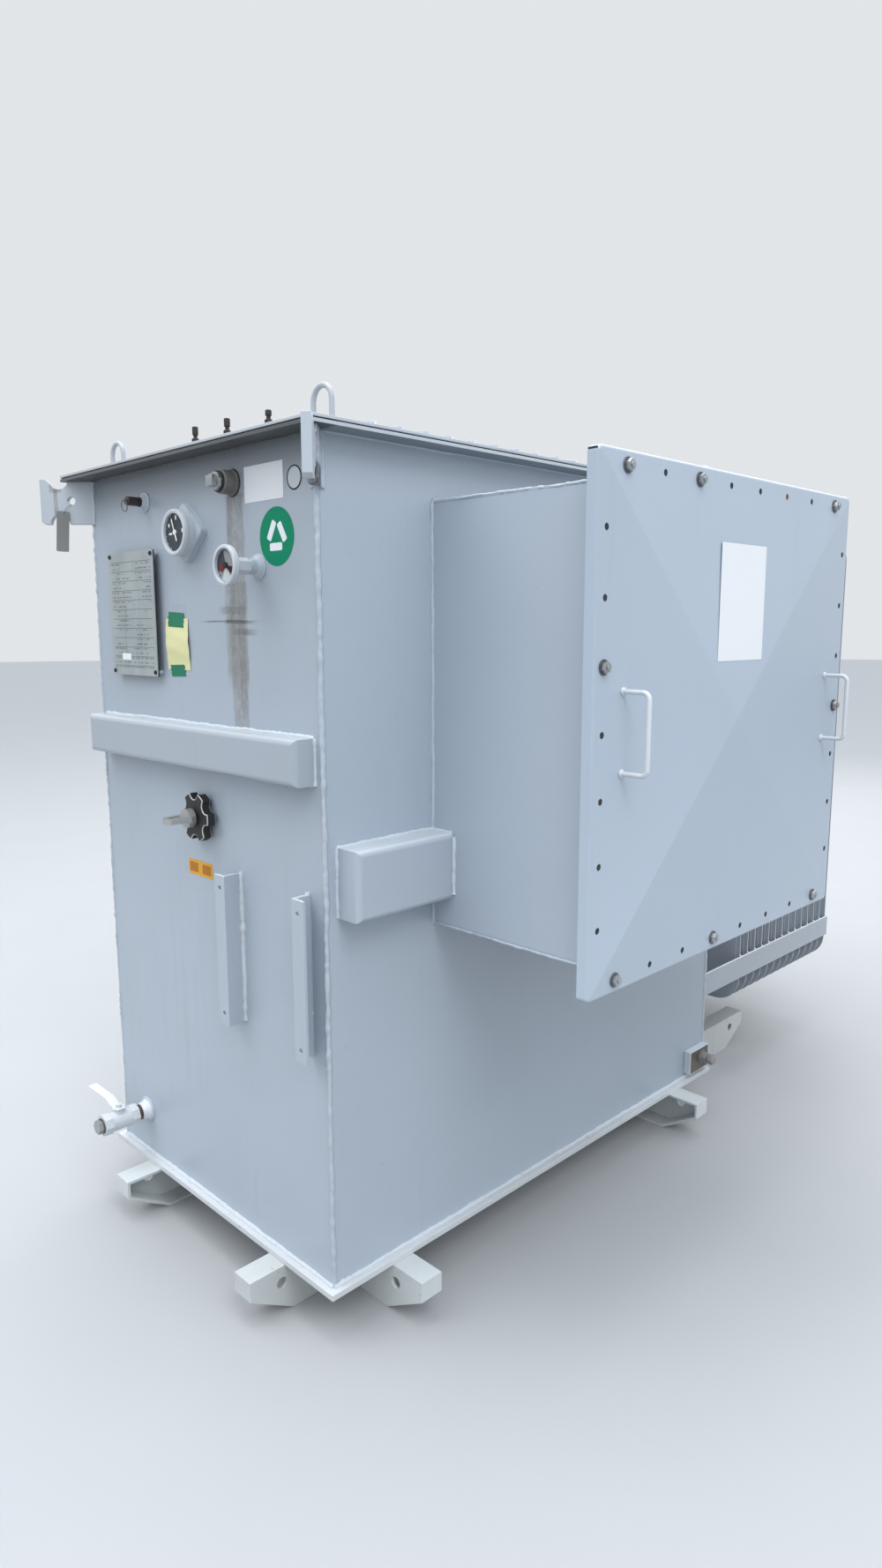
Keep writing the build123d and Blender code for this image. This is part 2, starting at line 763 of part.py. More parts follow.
body_start = drain_boss_depth + drain_nipple_depth
body_end = body_start + drain_body_depth
stem_out = (body_start + body_end) / 2
stem_z = wall_z + drain_up
bonnet_z = stem_z + drain_body / 2
lever_z = bonnet_z + bonnet_height + seat
with BuildPart() as drain_valve:
    for start in (body_start, body_end - drain_hex_depth):
        with BuildSketch(front_plane(drain_at, drain_up, start)):
            RegularPolygon(drain_hex / 2, 8, major_radius=False)
        extrude(amount=drain_hex_depth)
    with BuildSketch(front_plane(drain_at, drain_up, body_start)):
        Circle(drain_body / 2)
    extrude(amount=drain_body_depth)
    with BuildSketch(Plane(origin=(left_x + drain_at, front_y - stem_out, stem_z), z_dir=(0, 0, 1))):
        Circle(bonnet_width / 2)
    extrude(amount=drain_body / 2 + bonnet_height)
    with BuildSketch(Plane(origin=(left_x + drain_at, front_y - stem_out, stem_z), z_dir=(0, 0, 1))):
        Circle(stem_width / 2)
    extrude(amount=drain_body / 2 + stem_height)
save(drain_valve, "drain_valve")

with BuildPart() as drain_plug:
    with BuildSketch(front_plane(drain_at, drain_up, body_end)):
        RegularPolygon(drain_plug_size / 2, 6, major_radius=False)
    extrude(amount=drain_plug_depth)
save(drain_plug, "drain_plug")

# The lever rises from its eye to a raised arm
with BuildPart() as lever:
    eye = Plane(origin=(left_x + drain_at, front_y - stem_out, lever_z), x_dir=(-1, 0, 0), z_dir=(0, 1, 0))
    arm_end = lever_length - lever_eye / 2
    with BuildSketch(eye):
        with BuildLine():
            Polyline((-lever_eye / 2, 0), (lever_step_at, 0), (lever_step_at + lever_step, lever_lift),
                     (arm_end, lever_lift), (arm_end, lever_lift + lever_thick),
                     (lever_step_at + lever_step - lever_thick / 2, lever_lift + lever_thick),
                     (lever_step_at - lever_thick / 2, lever_thick), (-lever_eye / 2, lever_thick),
                     close=True)
        make_face()
    extrude(amount=lever_width / 2, both=True)
    with BuildSketch(Plane(origin=eye.origin, z_dir=(0, 0, 1))):
        Circle(lever_eye / 2)
    extrude(amount=lever_thick)
    with BuildSketch(Plane(origin=eye.origin, z_dir=(0, 0, 1))):
        Circle(stem_width / 2 + lever_bore_gap)
    extrude(amount=lever_thick, mode=Mode.SUBTRACT)
save(lever, "drain_lever")

# Tap changer: a lobed index disc on a boss, and a bladed handle that turns in front of it
with BuildPart() as tap_base:
    with BuildSketch(front_plane(tap_at, tap_up)):
        Circle(tap_boss / 2)
    extrude(amount=tap_boss_depth)
    with BuildSketch(front_plane(tap_at, tap_up, tap_boss_depth)) as lobes:
        Circle(tap_disc / 2)
        with PolarLocations(tap_disc / 2, tap_lobes, start_angle=tap_lobe_turn):
            Circle(tap_scallop, mode=Mode.SUBTRACT)
        fillet(lobes.vertices(), radius=tap_lobe_edge)
    extrude(amount=tap_disc_thick)
    with BuildSketch(front_plane(tap_at, tap_up, tap_boss_depth + tap_disc_thick)):
        Circle(tap_shaft / 2)
    extrude(amount=tap_gap + tap_socket - seat)
save(tap_base, "tap_changer")

hub_start = tap_boss_depth + tap_disc_thick + tap_gap
blade_end = hub_start + tap_blade_reach
with BuildPart() as tap_handle:
    with BuildSketch(front_plane(tap_at, tap_up, hub_start)):
        Circle(tap_hub / 2)
    extrude(amount=tap_hub_depth)
    with BuildSketch(Plane(origin=(left_x + tap_at, front_y, wall_z + tap_up), x_dir=(1, 0, 0))) as blade:
        with BuildLine():
            Polyline((-tap_hub / 2, -hub_start - tap_socket), (tap_hub / 2, -hub_start - tap_socket),
                     (tap_tip / 2, -blade_end), (-tap_tip / 2, -blade_end), close=True)
        make_face()
        fillet(blade.vertices().group_by(Axis.Y)[0], radius=tap_tip_edge)
        with Locations((0, -(hub_start + tap_hub_depth + blade_end) / 2)):
            SlotOverall(tap_slot_length, tap_slot, rotation=90, mode=Mode.SUBTRACT)
    extrude(amount=tap_blade_thick / 2, both=True)
    with BuildSketch(front_plane(tap_at, tap_up, hub_start)):
        Circle(tap_shaft / 2 + lever_bore_gap)
    extrude(amount=tap_socket, mode=Mode.SUBTRACT)
save(tap_handle, "tap_handle")

# Ground pad at the foot of the right wall
pad_back = tank_depth - pad_edge_gap - pad_width
with BuildPart() as pad:
    with BuildSketch(right_plane(pad_back + pad_width / 2, pad_up + pad_height / 2)):
        Rectangle(pad_width, pad_height)
    extrude(amount=pad_thick)
save(pad, "ground_pad")

# Radiator fins: pressed panels with thin seamed edges and flutes between the header zones
fin_half = tank_width / 2 - strap_thick - seat
fin_z = wall_z + fin_up
header_low = fin_z + header_from_end
header_high = fin_z + fin_height - header_from_end
header_spots = [(side * header_spacing / 2, z) for side in (-1, 1) for z in (header_low, header_high)]
fin_mid = Plane(origin=(tank_x, rear_y + fin_first, fin_z + fin_height / 2), x_dir=(1, 0, 0), z_dir=(0, -1, 0))
swell_width = 2 * (fin_half - fin_seam)
swell_height = fin_height - 2 * fin_seam
flute_pitch = swell_width / flute_count
with BuildPart() as one_fin:
    with BuildSketch(fin_mid):
        RectangleRounded(2 * fin_half, fin_height, fin_corner)
    extrude(amount=fin_seam_thick / 2, both=True)
    with BuildSketch(fin_mid):
        RectangleRounded(swell_width, swell_height, fin_corner - fin_seam)
    extrude(amount=fin_thick / 2, both=True)
    for side in (1, -1):
        with BuildSketch(fin_mid.offset(side * fin_thick / 2)):
            with GridLocations(flute_pitch, 0, flute_count - 1, 1):
                Rectangle(flute_groove, swell_height - 2 * flute_end)
        extrude(amount=-side * flute_groove_depth, mode=Mode.SUBTRACT)
    with BuildSketch(Plane.XZ.offset(-rear_y)):
        with Locations(*[(tank_x + x, z) for x, z in header_spots]):
            Circle(header_width / 2 + seat)
    extrude(amount=-2 * strap_length, mode=Mode.SUBTRACT)

with BuildPart() as fins:
    with Locations(*[(0, i * fin_pitch, 0) for i in range(fin_count)]):
        add(one_fin.part)
save(fins, "radiator_fins")

with BuildPart() as headers:
    with BuildSketch(Plane.XZ.offset(-rear_y)):
        with Locations(*[(tank_x + x, z) for x, z in header_spots]):
            Circle(header_width / 2)
    extrude(amount=-strap_length)
    with BuildSketch(Plane.XZ.offset(-rear_y)):
        with Locations(*[(tank_x + x, z) for x, z in header_spots]):
            Circle(header_flange / 2)
    extrude(amount=-header_flange_thick)
save(headers, "radiator_headers")

with BuildPart() as straps:
    with BuildSketch(Plane.XZ.offset(-rear_y)):
        for side in (-1, 1):
            with Locations((tank_x + side * (tank_width - strap_thick) / 2, wall_z + strap_up + strap_height / 2)):
                Rectangle(strap_thick, strap_height)
    extrude(amount=-strap_length)
save(straps, "radiator_straps")
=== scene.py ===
from math import cos, pi, radians, sin, sqrt
from random import Random

import bmesh
import bpy
from mathutils import Matrix, Vector


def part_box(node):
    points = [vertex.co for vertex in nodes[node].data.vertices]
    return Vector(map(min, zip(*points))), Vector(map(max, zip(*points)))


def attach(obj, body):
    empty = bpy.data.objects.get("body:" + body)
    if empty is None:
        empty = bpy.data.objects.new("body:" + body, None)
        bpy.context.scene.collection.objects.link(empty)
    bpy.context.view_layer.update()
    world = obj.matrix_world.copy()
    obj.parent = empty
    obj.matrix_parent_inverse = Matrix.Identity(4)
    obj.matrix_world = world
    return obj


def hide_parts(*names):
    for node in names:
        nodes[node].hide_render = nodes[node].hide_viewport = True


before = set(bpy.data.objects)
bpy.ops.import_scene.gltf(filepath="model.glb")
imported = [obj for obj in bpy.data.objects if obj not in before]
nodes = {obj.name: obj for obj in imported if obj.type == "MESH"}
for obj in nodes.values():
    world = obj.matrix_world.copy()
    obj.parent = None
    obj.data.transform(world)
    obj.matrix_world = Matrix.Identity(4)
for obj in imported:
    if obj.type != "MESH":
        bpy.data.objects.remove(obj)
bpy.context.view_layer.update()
print("frame loaded:", len(nodes), "nodes")

# walls, read from the frame, in metres
frontLow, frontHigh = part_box("front_wall")
leftX, rightX = frontLow.x, frontHigh.x
frontY, rearY = frontLow.y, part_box("rear_wall")[1].y
wallZ, rimZ = frontLow.z, frontHigh.z
coverLow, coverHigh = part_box("tank_cover")
topZ = coverHigh.z
panLow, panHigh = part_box("throat_cover")
panSheet = 0.003
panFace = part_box("throat_flange_level_bars")[1].x + panSheet
panMidY, panMidZ = (panLow.y + panHigh.y) / 2, (panLow.z + panHigh.z) / 2


# places: a matrix whose x runs across, y up and z out of the face

def placeAt(origin, across, out):
    zAxis, xAxis = Vector(out).normalized(), Vector(across).normalized()
    place = Matrix((xAxis, zAxis.cross(xAxis), zAxis)).transposed().to_4x4()
    place.translation = Vector(origin)
    return place


def facingFront(x, y, z):
    return placeAt((x, y, z), (1, 0, 0), (0, -1, 0))


def onFront(across, up, out=0.0):
    return facingFront(leftX + across, frontY - out, wallZ + up)


def onRight(back, up, out=0.0):
    return placeAt((rightX + out, frontY + back, wallZ + up), (0, 1, 0), (1, 0, 0))


def onPan(along, up, out=0.0):
    return placeAt((panFace + out, panMidY + along, panMidZ + up), (0, 1, 0), (1, 0, 0))


def onTop(x, y, up=0.0):
    return placeAt((x, y, topZ + up), (1, 0, 0), (0, 0, 1))


def frontSpot(*nodeNames):
    # across, up and reach of a fitting on the front wall
    corners = [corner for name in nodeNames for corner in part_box(name)]
    xs, zs = [c.x for c in corners], [c.z for c in corners]
    return {"across": (min(xs) + max(xs)) / 2 - leftX, "up": (min(zs) + max(zs)) / 2 - wallZ,
        "front": frontY - min(c.y for c in corners)}


def lift(height):
    return Matrix.Translation((0, 0, height))


def shift(x, y, z):
    return Matrix.Translation((x, y, z))


def turnBy(degrees, axis="Z"):
    return Matrix.Rotation(radians(degrees), 4, axis)


def outOf(place, length=1.0):
    return place.to_3x3() @ Vector((0, 0, length))


# shape tools

mergeDist = 1e-6


def edgesOf(verts):
    # each edge once, in the same order on every run
    return list(dict.fromkeys(edge for vert in verts for edge in vert.link_edges))


def roundOff(bm, parts, width, segments=2, affect="EDGES"):
    return bmesh.ops.bevel(bm, geom=parts, offset=width, offset_type="OFFSET", segments=segments, profile=0.5,
        affect=affect, material=-1)


def raiseFace(bm, face, place, thick):
    made = bmesh.ops.extrude_face_region(bm, geom=[face])["geom"]
    verts = [part for part in made if isinstance(part, bmesh.types.BMVert)]
    bmesh.ops.translate(bm, verts=verts, vec=outOf(place, thick))
    return next(part for part in made if isinstance(part, bmesh.types.BMFace))


def lathe(bm, place, profile, steps=40):
    # turns a line of (radius, height) points about the place's z
    rim = [bm.verts.new(place @ Vector((radius, 0, height))) for radius, height in profile]
    edges = [bm.edges.new(pair) for pair in zip(rim, rim[1:])]
    bmesh.ops.spin(bm, geom=rim + edges, cent=place.translation, axis=outOf(place), angle=2 * pi, steps=steps,
        use_merge=True)
    bmesh.ops.remove_doubles(bm, verts=bm.verts, dist=mergeDist)


def discProfile(radius, high, low=0):
    return [(0, low), (radius, low), (radius, high), (0, high)]


def block(bm, place, size, bevel=0.0, segments=2):
    made = bmesh.ops.create_cube(bm, size=1, matrix=place @ Matrix.Diagonal((*size, 1)))
    if bevel:
        roundOff(bm, edgesOf(made["verts"]), bevel, segments)


def hexPrism(bm, place, acrossFlats, height, bevel=0.0, sides=6, turn=0.0):
    middle = place @ lift(height / 2) @ Matrix.Rotation(turn, 4, "Z")
    radius = acrossFlats / 2 / cos(pi / sides)
    made = bmesh.ops.create_cone(bm, cap_ends=True, segments=sides, radius1=radius, radius2=radius, depth=height,
        matrix=middle)
    if bevel:
        top = place.translation + outOf(place, height)
        out = outOf(place)
        edges = [edge for edge in edgesOf(made["verts"]) if all(abs((v.co - top).dot(out)) < mergeDist
            for v in edge.verts)]
        roundOff(bm, edges, bevel)


def sheetPlate(bm, place, width, height, thick, corner=0.0):
    made = bmesh.ops.create_cube(bm, size=1, matrix=place @ lift(thick / 2)
        @ Matrix.Diagonal((width, height, thick, 1)))
    if corner:
        out = outOf(place)
        upright = [edge for edge in edgesOf(made["verts"]) if abs((edge.verts[0].co
            - edge.verts[1].co).normalized().dot(out)) > 0.99]
        roundOff(bm, upright, corner, 5)


def tubeRuns(bm, runs, radius, closed=False, resolution=2):
    # each run is a list of (point, share of the radius)
    curve = bpy.data.curves.new("run", "CURVE")
    curve.dimensions = "3D"
    curve.bevel_depth = radius
    curve.bevel_resolution = resolution
    curve.use_fill_caps = not closed
    for run in runs:
        spline = curve.splines.new("POLY")
        spline.points.add(len(run) - 1)
        spline.use_cyclic_u = closed
        for slot, (point, share) in zip(spline.points, run):
            slot.co = (*point, 1)
            slot.radius = share
    holder = bpy.data.objects.new("run", curve)
    mesh = bpy.data.meshes.new_from_object(holder)
    bm.from_mesh(mesh)
    bpy.data.objects.remove(holder)
    bpy.data.curves.remove(curve)
    bpy.data.meshes.remove(mesh)


def placeObject(name, data):
    made = bpy.data.objects.new(name, data)
    bpy.context.scene.collection.objects.link(made)
    return made


def settleOrder(bm):
    # extruding leaves corners and faces in an order that changes from run to run, so they are sorted by place
    def cornersOf(part):
        return sorted(vert.co[:] for vert in part.verts)

    for parts, spotOf in ((bm.verts, lambda vert: vert.co[:]), (bm.edges, cornersOf), (bm.faces, cornersOf)):
        ranks = {part: rank for rank, part in enumerate(sorted(parts, key=spotOf))}
        parts.sort(key=ranks.get)


def finishPiece(bm, name, material, body="unit", slot="tank_paint", smoothAngle=32, replaced=(), settled=False):
    bmesh.ops.recalc_face_normals(bm, faces=bm.faces)
    if not settled:
        settleOrder(bm)
    mesh = bpy.data.meshes.new(name)
    bm.to_mesh(mesh)
    bm.free()
    materials = material if isinstance(material, (list, tuple)) else [material]
    for each in materials:
        mesh.materials.append(each)
    mesh.polygons.foreach_set("use_smooth", [True] * len(mesh.polygons))
    mesh.set_sharp_from_angle(angle=radians(smoothAngle))
    piece = placeObject(name, mesh)
    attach(piece, body)
    if replaced:
        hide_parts(*replaced)
    return piece


def lathePiece(name, place, profile, material, steps=40, **how):
    bm = bmesh.new()
    lathe(bm, place, profile, steps)
    return finishPiece(bm, name, material, **how)


def sheetPiece(name, place, width, height, material, thick=0.0004, corner=0.0, **how):
    bm = bmesh.new()
    sheetPlate(bm, place, width, height, thick, corner)
    return finishPiece(bm, name, material, **how)


def mergedNode(nodeName):
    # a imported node's shape, without the lines between its flat triangles
    bm = bmesh.new()
    bm.from_mesh(nodes[nodeName].data)
    bmesh.ops.remove_doubles(bm, verts=bm.verts, dist=mergeDist)
    bmesh.ops.dissolve_limit(bm, angle_limit=radians(0.5), verts=bm.verts, edges=bm.edges)
    return bm


def repaintNode(nodeName, material):
    materials = nodes[nodeName].data.materials
    materials.clear()
    materials.append(material)


def softenNode(nodeName, material, width, body="unit", slot="tank_paint", edgeMaterial=None):
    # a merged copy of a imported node, with its sharp edges rounded
    materials = [material] + ([edgeMaterial] if edgeMaterial else [])
    piece = finishPiece(mergedNode(nodeName), nodeName + "_body", materials, body, slot, replaced=[nodeName],
        settled=True)
    bevel = piece.modifiers.new("edges", "BEVEL")
    bevel.width = width
    bevel.segments = 2
    bevel.limit_method = "ANGLE"
    bevel.angle_limit = radians(38)
    bevel.use_clamp_overlap = True
    bevel.harden_normals = True
    bevel.material = 1 if edgeMaterial else -1
    return piece


# material tools

def addNode(tree, kind, inputs=None, **settings):
    # an input given a socket is linked, any other value is set
    node = tree.nodes.new(kind)
    for name, value in settings.items():
        setattr(node, name, value)
    for name, value in (inputs or {}).items():
        socket = node.inputs[name]
        if isinstance(value, bpy.types.NodeSocket):
            tree.links.new(value, socket)
        else:
            socket.default_value = value
    return node


def mathNode(tree, operation, first, second=0.0, clamp=False):
    return addNode(tree, "ShaderNodeMath", {0: first, 1: second}, operation=operation, use_clamp=clamp).outputs[0]


def times(tree, first, second):
    return mathNode(tree, "MULTIPLY", first, second)


def plus(tree, first, second, clamp=False):
    return mathNode(tree, "ADD", first, second, clamp)


def minus(tree, first, second):
    return mathNode(tree, "SUBTRACT", first, second)


def axesOf(tree, vector):
    return addNode(tree, "ShaderNodeSeparateXYZ", {"Vector": vector}).outputs


def facingOf(tree):
    return axesOf(tree, tree.nodes.new("ShaderNodeNewGeometry").outputs["Normal"])


def noiseNode(tree, vector, scale, detail=3.0, roughness=0.5):
    return addNode(tree, "ShaderNodeTexNoise", {"Vector": vector, "Scale": scale, "Detail": detail,
        "Roughness": roughness}).outputs["Fac"]


def rampNode(tree, value, low, high, toLow=0.0, toHigh=1.0):
    return addNode(tree, "ShaderNodeMapRange", {"Value": value, "From Min": low, "From Max": high, "To Min": toLow,
        "To Max": toHigh}, interpolation_type="SMOOTHSTEP").outputs["Result"]


def mixColour(tree, share, first, second, blend="MIX"):
    node = addNode(tree, "ShaderNodeMix", data_type="RGBA", blend_type=blend)
    for index, value in ((0, share), (6, first), (7, second)):
        if isinstance(value, bpy.types.NodeSocket):
            tree.links.new(value, node.inputs[index])
        else:
            node.inputs[index].default_value = value
    return node.outputs[2]


def scaledPlace(tree, vector, scale, shift=(0, 0, 0)):
    return addNode(tree, "ShaderNodeMapping", {"Vector": vector, "Scale": scale, "Location": shift}).outputs[0]


def makeGroup(name, inputs, outputs):
    # an input's kind follows its value: none for a place, four numbers for a colour
    tree = bpy.data.node_groups.new(name, "ShaderNodeTree")
    for label, value in inputs.items():
        kind = "Vector" if value is None else "Color" if isinstance(value, tuple) else "Float"
        socket = tree.interface.new_socket(label, in_out="INPUT", socket_type="NodeSocket" + kind)
        if value is not None:
            socket.default_value = value
    for label, kind in outputs.items():
        tree.interface.new_socket(label, in_out="OUTPUT", socket_type="NodeSocket" + kind)
    return tree, tree.nodes.new("NodeGroupInput").outputs, tree.nodes.new("NodeGroupOutput").inputs


def buildWeather():
    tree, given, made = makeGroup("weatheredCoat", {
        "Place": None, "Paint": (0.5, 0.5, 0.5, 1), "Grime": (0.16, 0.14, 0.12, 1), "Rust": (0.16, 0.06, 0.025, 1),
        "Mottle": 0.1, "Streaks": 0.2, "Specks": 0.3, "Rusting": 0.0, "Roughness": 0.4,
    }, {"Colour": "Color", "Roughness": "Float", "Height": "Float"})
    place = given["Place"]
    broad = rampNode(tree, noiseNode(tree, place, 2.3, 4), 0.35, 0.68)
    runs = noiseNode(tree, scaledPlace(tree, place, (34, 34, 1.3)), 1.0, 4, 0.6)
    runs = times(tree, rampNode(tree, runs, 0.52, 0.74), rampNode(tree, noiseNode(tree, place, 5), 0.4, 0.65))
    runs = times(tree, runs, given["Streaks"])
    specks = rampNode(tree, noiseNode(tree, place, 150, 2, 0.6), 0.70, 0.74)
    specks = times(tree, specks, rampNode(tree, noiseNode(tree, place, 7, 2), 0.45, 0.62))
    specks = times(tree, specks, given["Specks"])
    rustField = noiseNode(tree, place, 26, 8, 0.65)
    rustLine = minus(tree, 0.93, times(tree, given["Rusting"], 0.6))
    rust = rampNode(tree, rustField, rustLine, plus(tree, rustLine, 0.06))
    mottled = mixColour(tree, times(tree, broad, given["Mottle"]), given["Paint"], given["Grime"])
    colour = mixColour(tree, runs, mottled, given["Grime"])
    colour = mixColour(tree, specks, colour, given["Grime"])
    colour = mixColour(tree, rust, colour, given["Rust"])
    dull = plus(tree, times(tree, runs, 0.25), times(tree, rust, 0.35))
    dull = plus(tree, dull, times(tree, broad, 0.07))
    peel = times(tree, noiseNode(tree, place, 190, 2), 0.5)
    tree.links.new(colour, made["Colour"])
    tree.links.new(plus(tree, given["Roughness"], dull, True), made["Roughness"])
    tree.links.new(plus(tree, peel, times(tree, rust, 1.5)), made["Height"])
    return tree


def buildDrip():
    # a dirty run down a wall: x is its middle, z runs from where it starts down to where it fades
    tree, given, made = makeGroup("dripStain", {
        "Place": None, "Middle": 0.0, "Half width": 0.02, "Top": 1.0, "Bottom": 0.5, "Wander": 0.02,
        "Soft start": 0.02,
    }, {"Mask": "Float"})
    split = axesOf(tree, given["Place"])
    sway = noiseNode(tree, scaledPlace(tree, given["Place"], (0, 0, 3.2)), 1.0, 2)
    sway = times(tree, minus(tree, sway, 0.5), given["Wander"])
    off = minus(tree, minus(tree, split[0], given["Middle"]), sway)
    ragged = noiseNode(tree, scaledPlace(tree, given["Place"], (70, 70, 20)), 1.0, 5, 0.6)
    ragged = times(tree, minus(tree, ragged, 0.5), 0.75)
    share = plus(tree, mathNode(tree, "DIVIDE", mathNode(tree, "ABSOLUTE", off), given["Half width"]), ragged)
    across = rampNode(tree, share, 1.08, 0.72)
    rise = mathNode(tree, "DIVIDE", minus(tree, split[2], given["Bottom"]),
        minus(tree, given["Top"], given["Bottom"]))
    along = times(tree, rampNode(tree, rise, -0.02, 0.22), rampNode(tree, rise, 1.0,
        minus(tree, 1.0, given["Soft start"])))
    grain = rampNode(tree, noiseNode(tree, scaledPlace(tree, given["Place"], (110, 110, 55)), 1.0, 5, 0.7), 0.35,
        0.65, 0.55, 1.0)
    mask = times(tree, times(tree, across, along), grain)
    tree.links.new(mask, made["Mask"])
    return tree


weathered = buildWeather()
dripStain = buildDrip()


def startMaterial(name, metallic=0.0, coat=0.0, coatRoughness=0.15):
    material = bpy.data.materials.new(name)
    material.use_nodes = True
    tree = material.node_tree
    shader = tree.nodes["Principled BSDF"]
    shader.inputs["Metallic"].default_value = metallic
    shader.inputs["Coat Weight"].default_value = coat
    shader.inputs["Coat Roughness"].default_value = coatRoughness
    place = tree.nodes.new("ShaderNodeTexCoord").outputs["Object"]
    return material, tree, shader, place


def bumpInto(tree, shader, height, strength, distance=0.0006):
    bump = addNode(tree, "ShaderNodeBump", {"Height": height, "Strength": strength, "Distance": distance})
    tree.links.new(bump.outputs[0], shader.inputs["Normal"])


def coatMaterial(name, paint, drips=(), metallic=0.0, coat=0.0, bump=0.25, **values):
    material, tree, shader, place = startMaterial(name, metallic, coat)
    group = addNode(tree, "ShaderNodeGroup", node_tree=weathered)
    tree.links.new(place, group.inputs["Place"])
    group.inputs["Paint"].default_value = (*paint, 1)
    for label, value in {"Grime": grime, **values}.items():
        socket = group.inputs[label]
        socket.default_value = (*value, 1) if isinstance(value, tuple) else value
    colour, rough = group.outputs["Colour"], group.outputs["Roughness"]
    for drip in drips:
        stain = addNode(tree, "ShaderNodeGroup", node_tree=dripStain)
        runPlace = place
        if drip["level"]:
            split = axesOf(tree, place)
            runPlace = addNode(tree, "ShaderNodeCombineXYZ", {"X": split[2], "Y": split[1], "Z": split[0]}).outputs[0]
        tree.links.new(runPlace, stain.inputs["Place"])
        for label, value in drip["run"].items():
            stain.inputs[label].default_value = value
        share = times(tree, stain.outputs["Mask"], drip["strength"])
        colour = mixColour(tree, share, colour, (*drip["colour"], 1))
        rough = plus(tree, rough, times(tree, share, 0.3), True)
    tree.links.new(colour, shader.inputs["Base Color"])
    tree.links.new(rough, shader.inputs["Roughness"])
    bumpInto(tree, shader, group.outputs["Height"], bump)
    return material


def colourLink(material):
    tree = material.node_tree
    shader = tree.nodes["Principled BSDF"]
    place = next(node for node in tree.nodes if node.type == "TEX_COORD").outputs["Object"]
    return tree, shader.inputs["Base Color"], place


def shadeBase(material, shade):
    # multiplies the colour by a share that may change over the surface; used for painted light and shade
    tree, base, place = colourLink(material)
    grey = addNode(tree, "ShaderNodeCombineColor", {"Red": shade, "Green": shade, "Blue": shade}).outputs[0]
    tree.links.new(mixColour(tree, 1.0, base.links[0].from_socket, grey, "MULTIPLY"), base)
    return material


def paintTopLighting(material, topTone):
    # painted light and shade: faces that point up are mixed toward a given colour
    tree, base, place = colourLink(material)
    facing = facingOf(tree)[2]
    tree.links.new(mixColour(tree, rampNode(tree, facing, 0.55, 0.92), base.links[0].from_socket, (*topTone, 1)), base)
    return material


paleGrey = (0.405, 0.465, 0.535)
grime = (0.20, 0.185, 0.165)
stainGrey = (0.265, 0.268, 0.262)
soot = (0.11, 0.105, 0.10)


def makeDrip(middle, halfWidth, top, bottom, wander, strength, colour, level=False):
    run = {"Middle": middle, "Half width": halfWidth, "Top": top, "Bottom": bottom, "Wander": wander,
        "Soft start": 0.45 if level else 0.02}
    return {"run": run, "strength": strength, "colour": colour, "level": level}


def frontDrip(middle, halfWidth, top, bottom, *look, level=False):
    # from the wall's lower left corner; a level run has across and up changed round
    side, start = (wallZ, leftX) if level else (leftX, wallZ)
    return makeDrip(side + middle, halfWidth, start + top, start + bottom, *look, level=level)


# middle, half width, where it starts and ends, wander, strength, colour
frontDrips = [frontDrip(*row) for row in ((0.531, 0.029, 1.384, 1.02, 0.006, 0.85, stainGrey),
    (0.527, 0.035, 1.235, 1.04, 0.012, 0.75, stainGrey), (0.530, 0.026, 1.10, 0.955, 0.012, 0.8, stainGrey),
    (0.516, 0.008, 1.384, 1.08, 0.022, 0.35, soot), (0.541, 0.010, 1.20, 0.98, 0.030, 0.28, soot))]
frontDrips += [frontDrip(*row, level=True) for row in ((1.1655, 0.0016, 0.622, 0.400, 0.003, 0.8, soot),
    (1.1640, 0.0036, 0.598, 0.480, 0.012, 0.85, soot), (1.1840, 0.0070, 0.575, 0.468, 0.008, 0.45, soot),
    (1.1470, 0.0060, 0.602, 0.512, 0.012, 0.55, soot))]
frontDrips.append(frontDrip(0.335, 0.030, 1.20, 1.07, 0.02, 0.14, stainGrey))
rustBrown = (0.15, 0.075, 0.04)
lugTips = (leftX - 0.0455, rightX + 0.0455)
lugDrips = [makeDrip(x, 0.0032, rimZ - 0.0145, rimZ - 0.075, 0.003, 0.55, rustBrown) for x in lugTips]
lugDrips += [makeDrip(x, 0.009, rimZ - 0.002, rimZ - 0.024, 0.003, 0.6, rustBrown) for x in lugTips]
lugDrips.append(makeDrip(rightX + 0.034, 0.024, rimZ - 0.0885, rimZ - 0.052, 0.006, 1.0, (0.040, 0.028, 0.023)))
levelShade = (0.30, 0.325, 0.355)
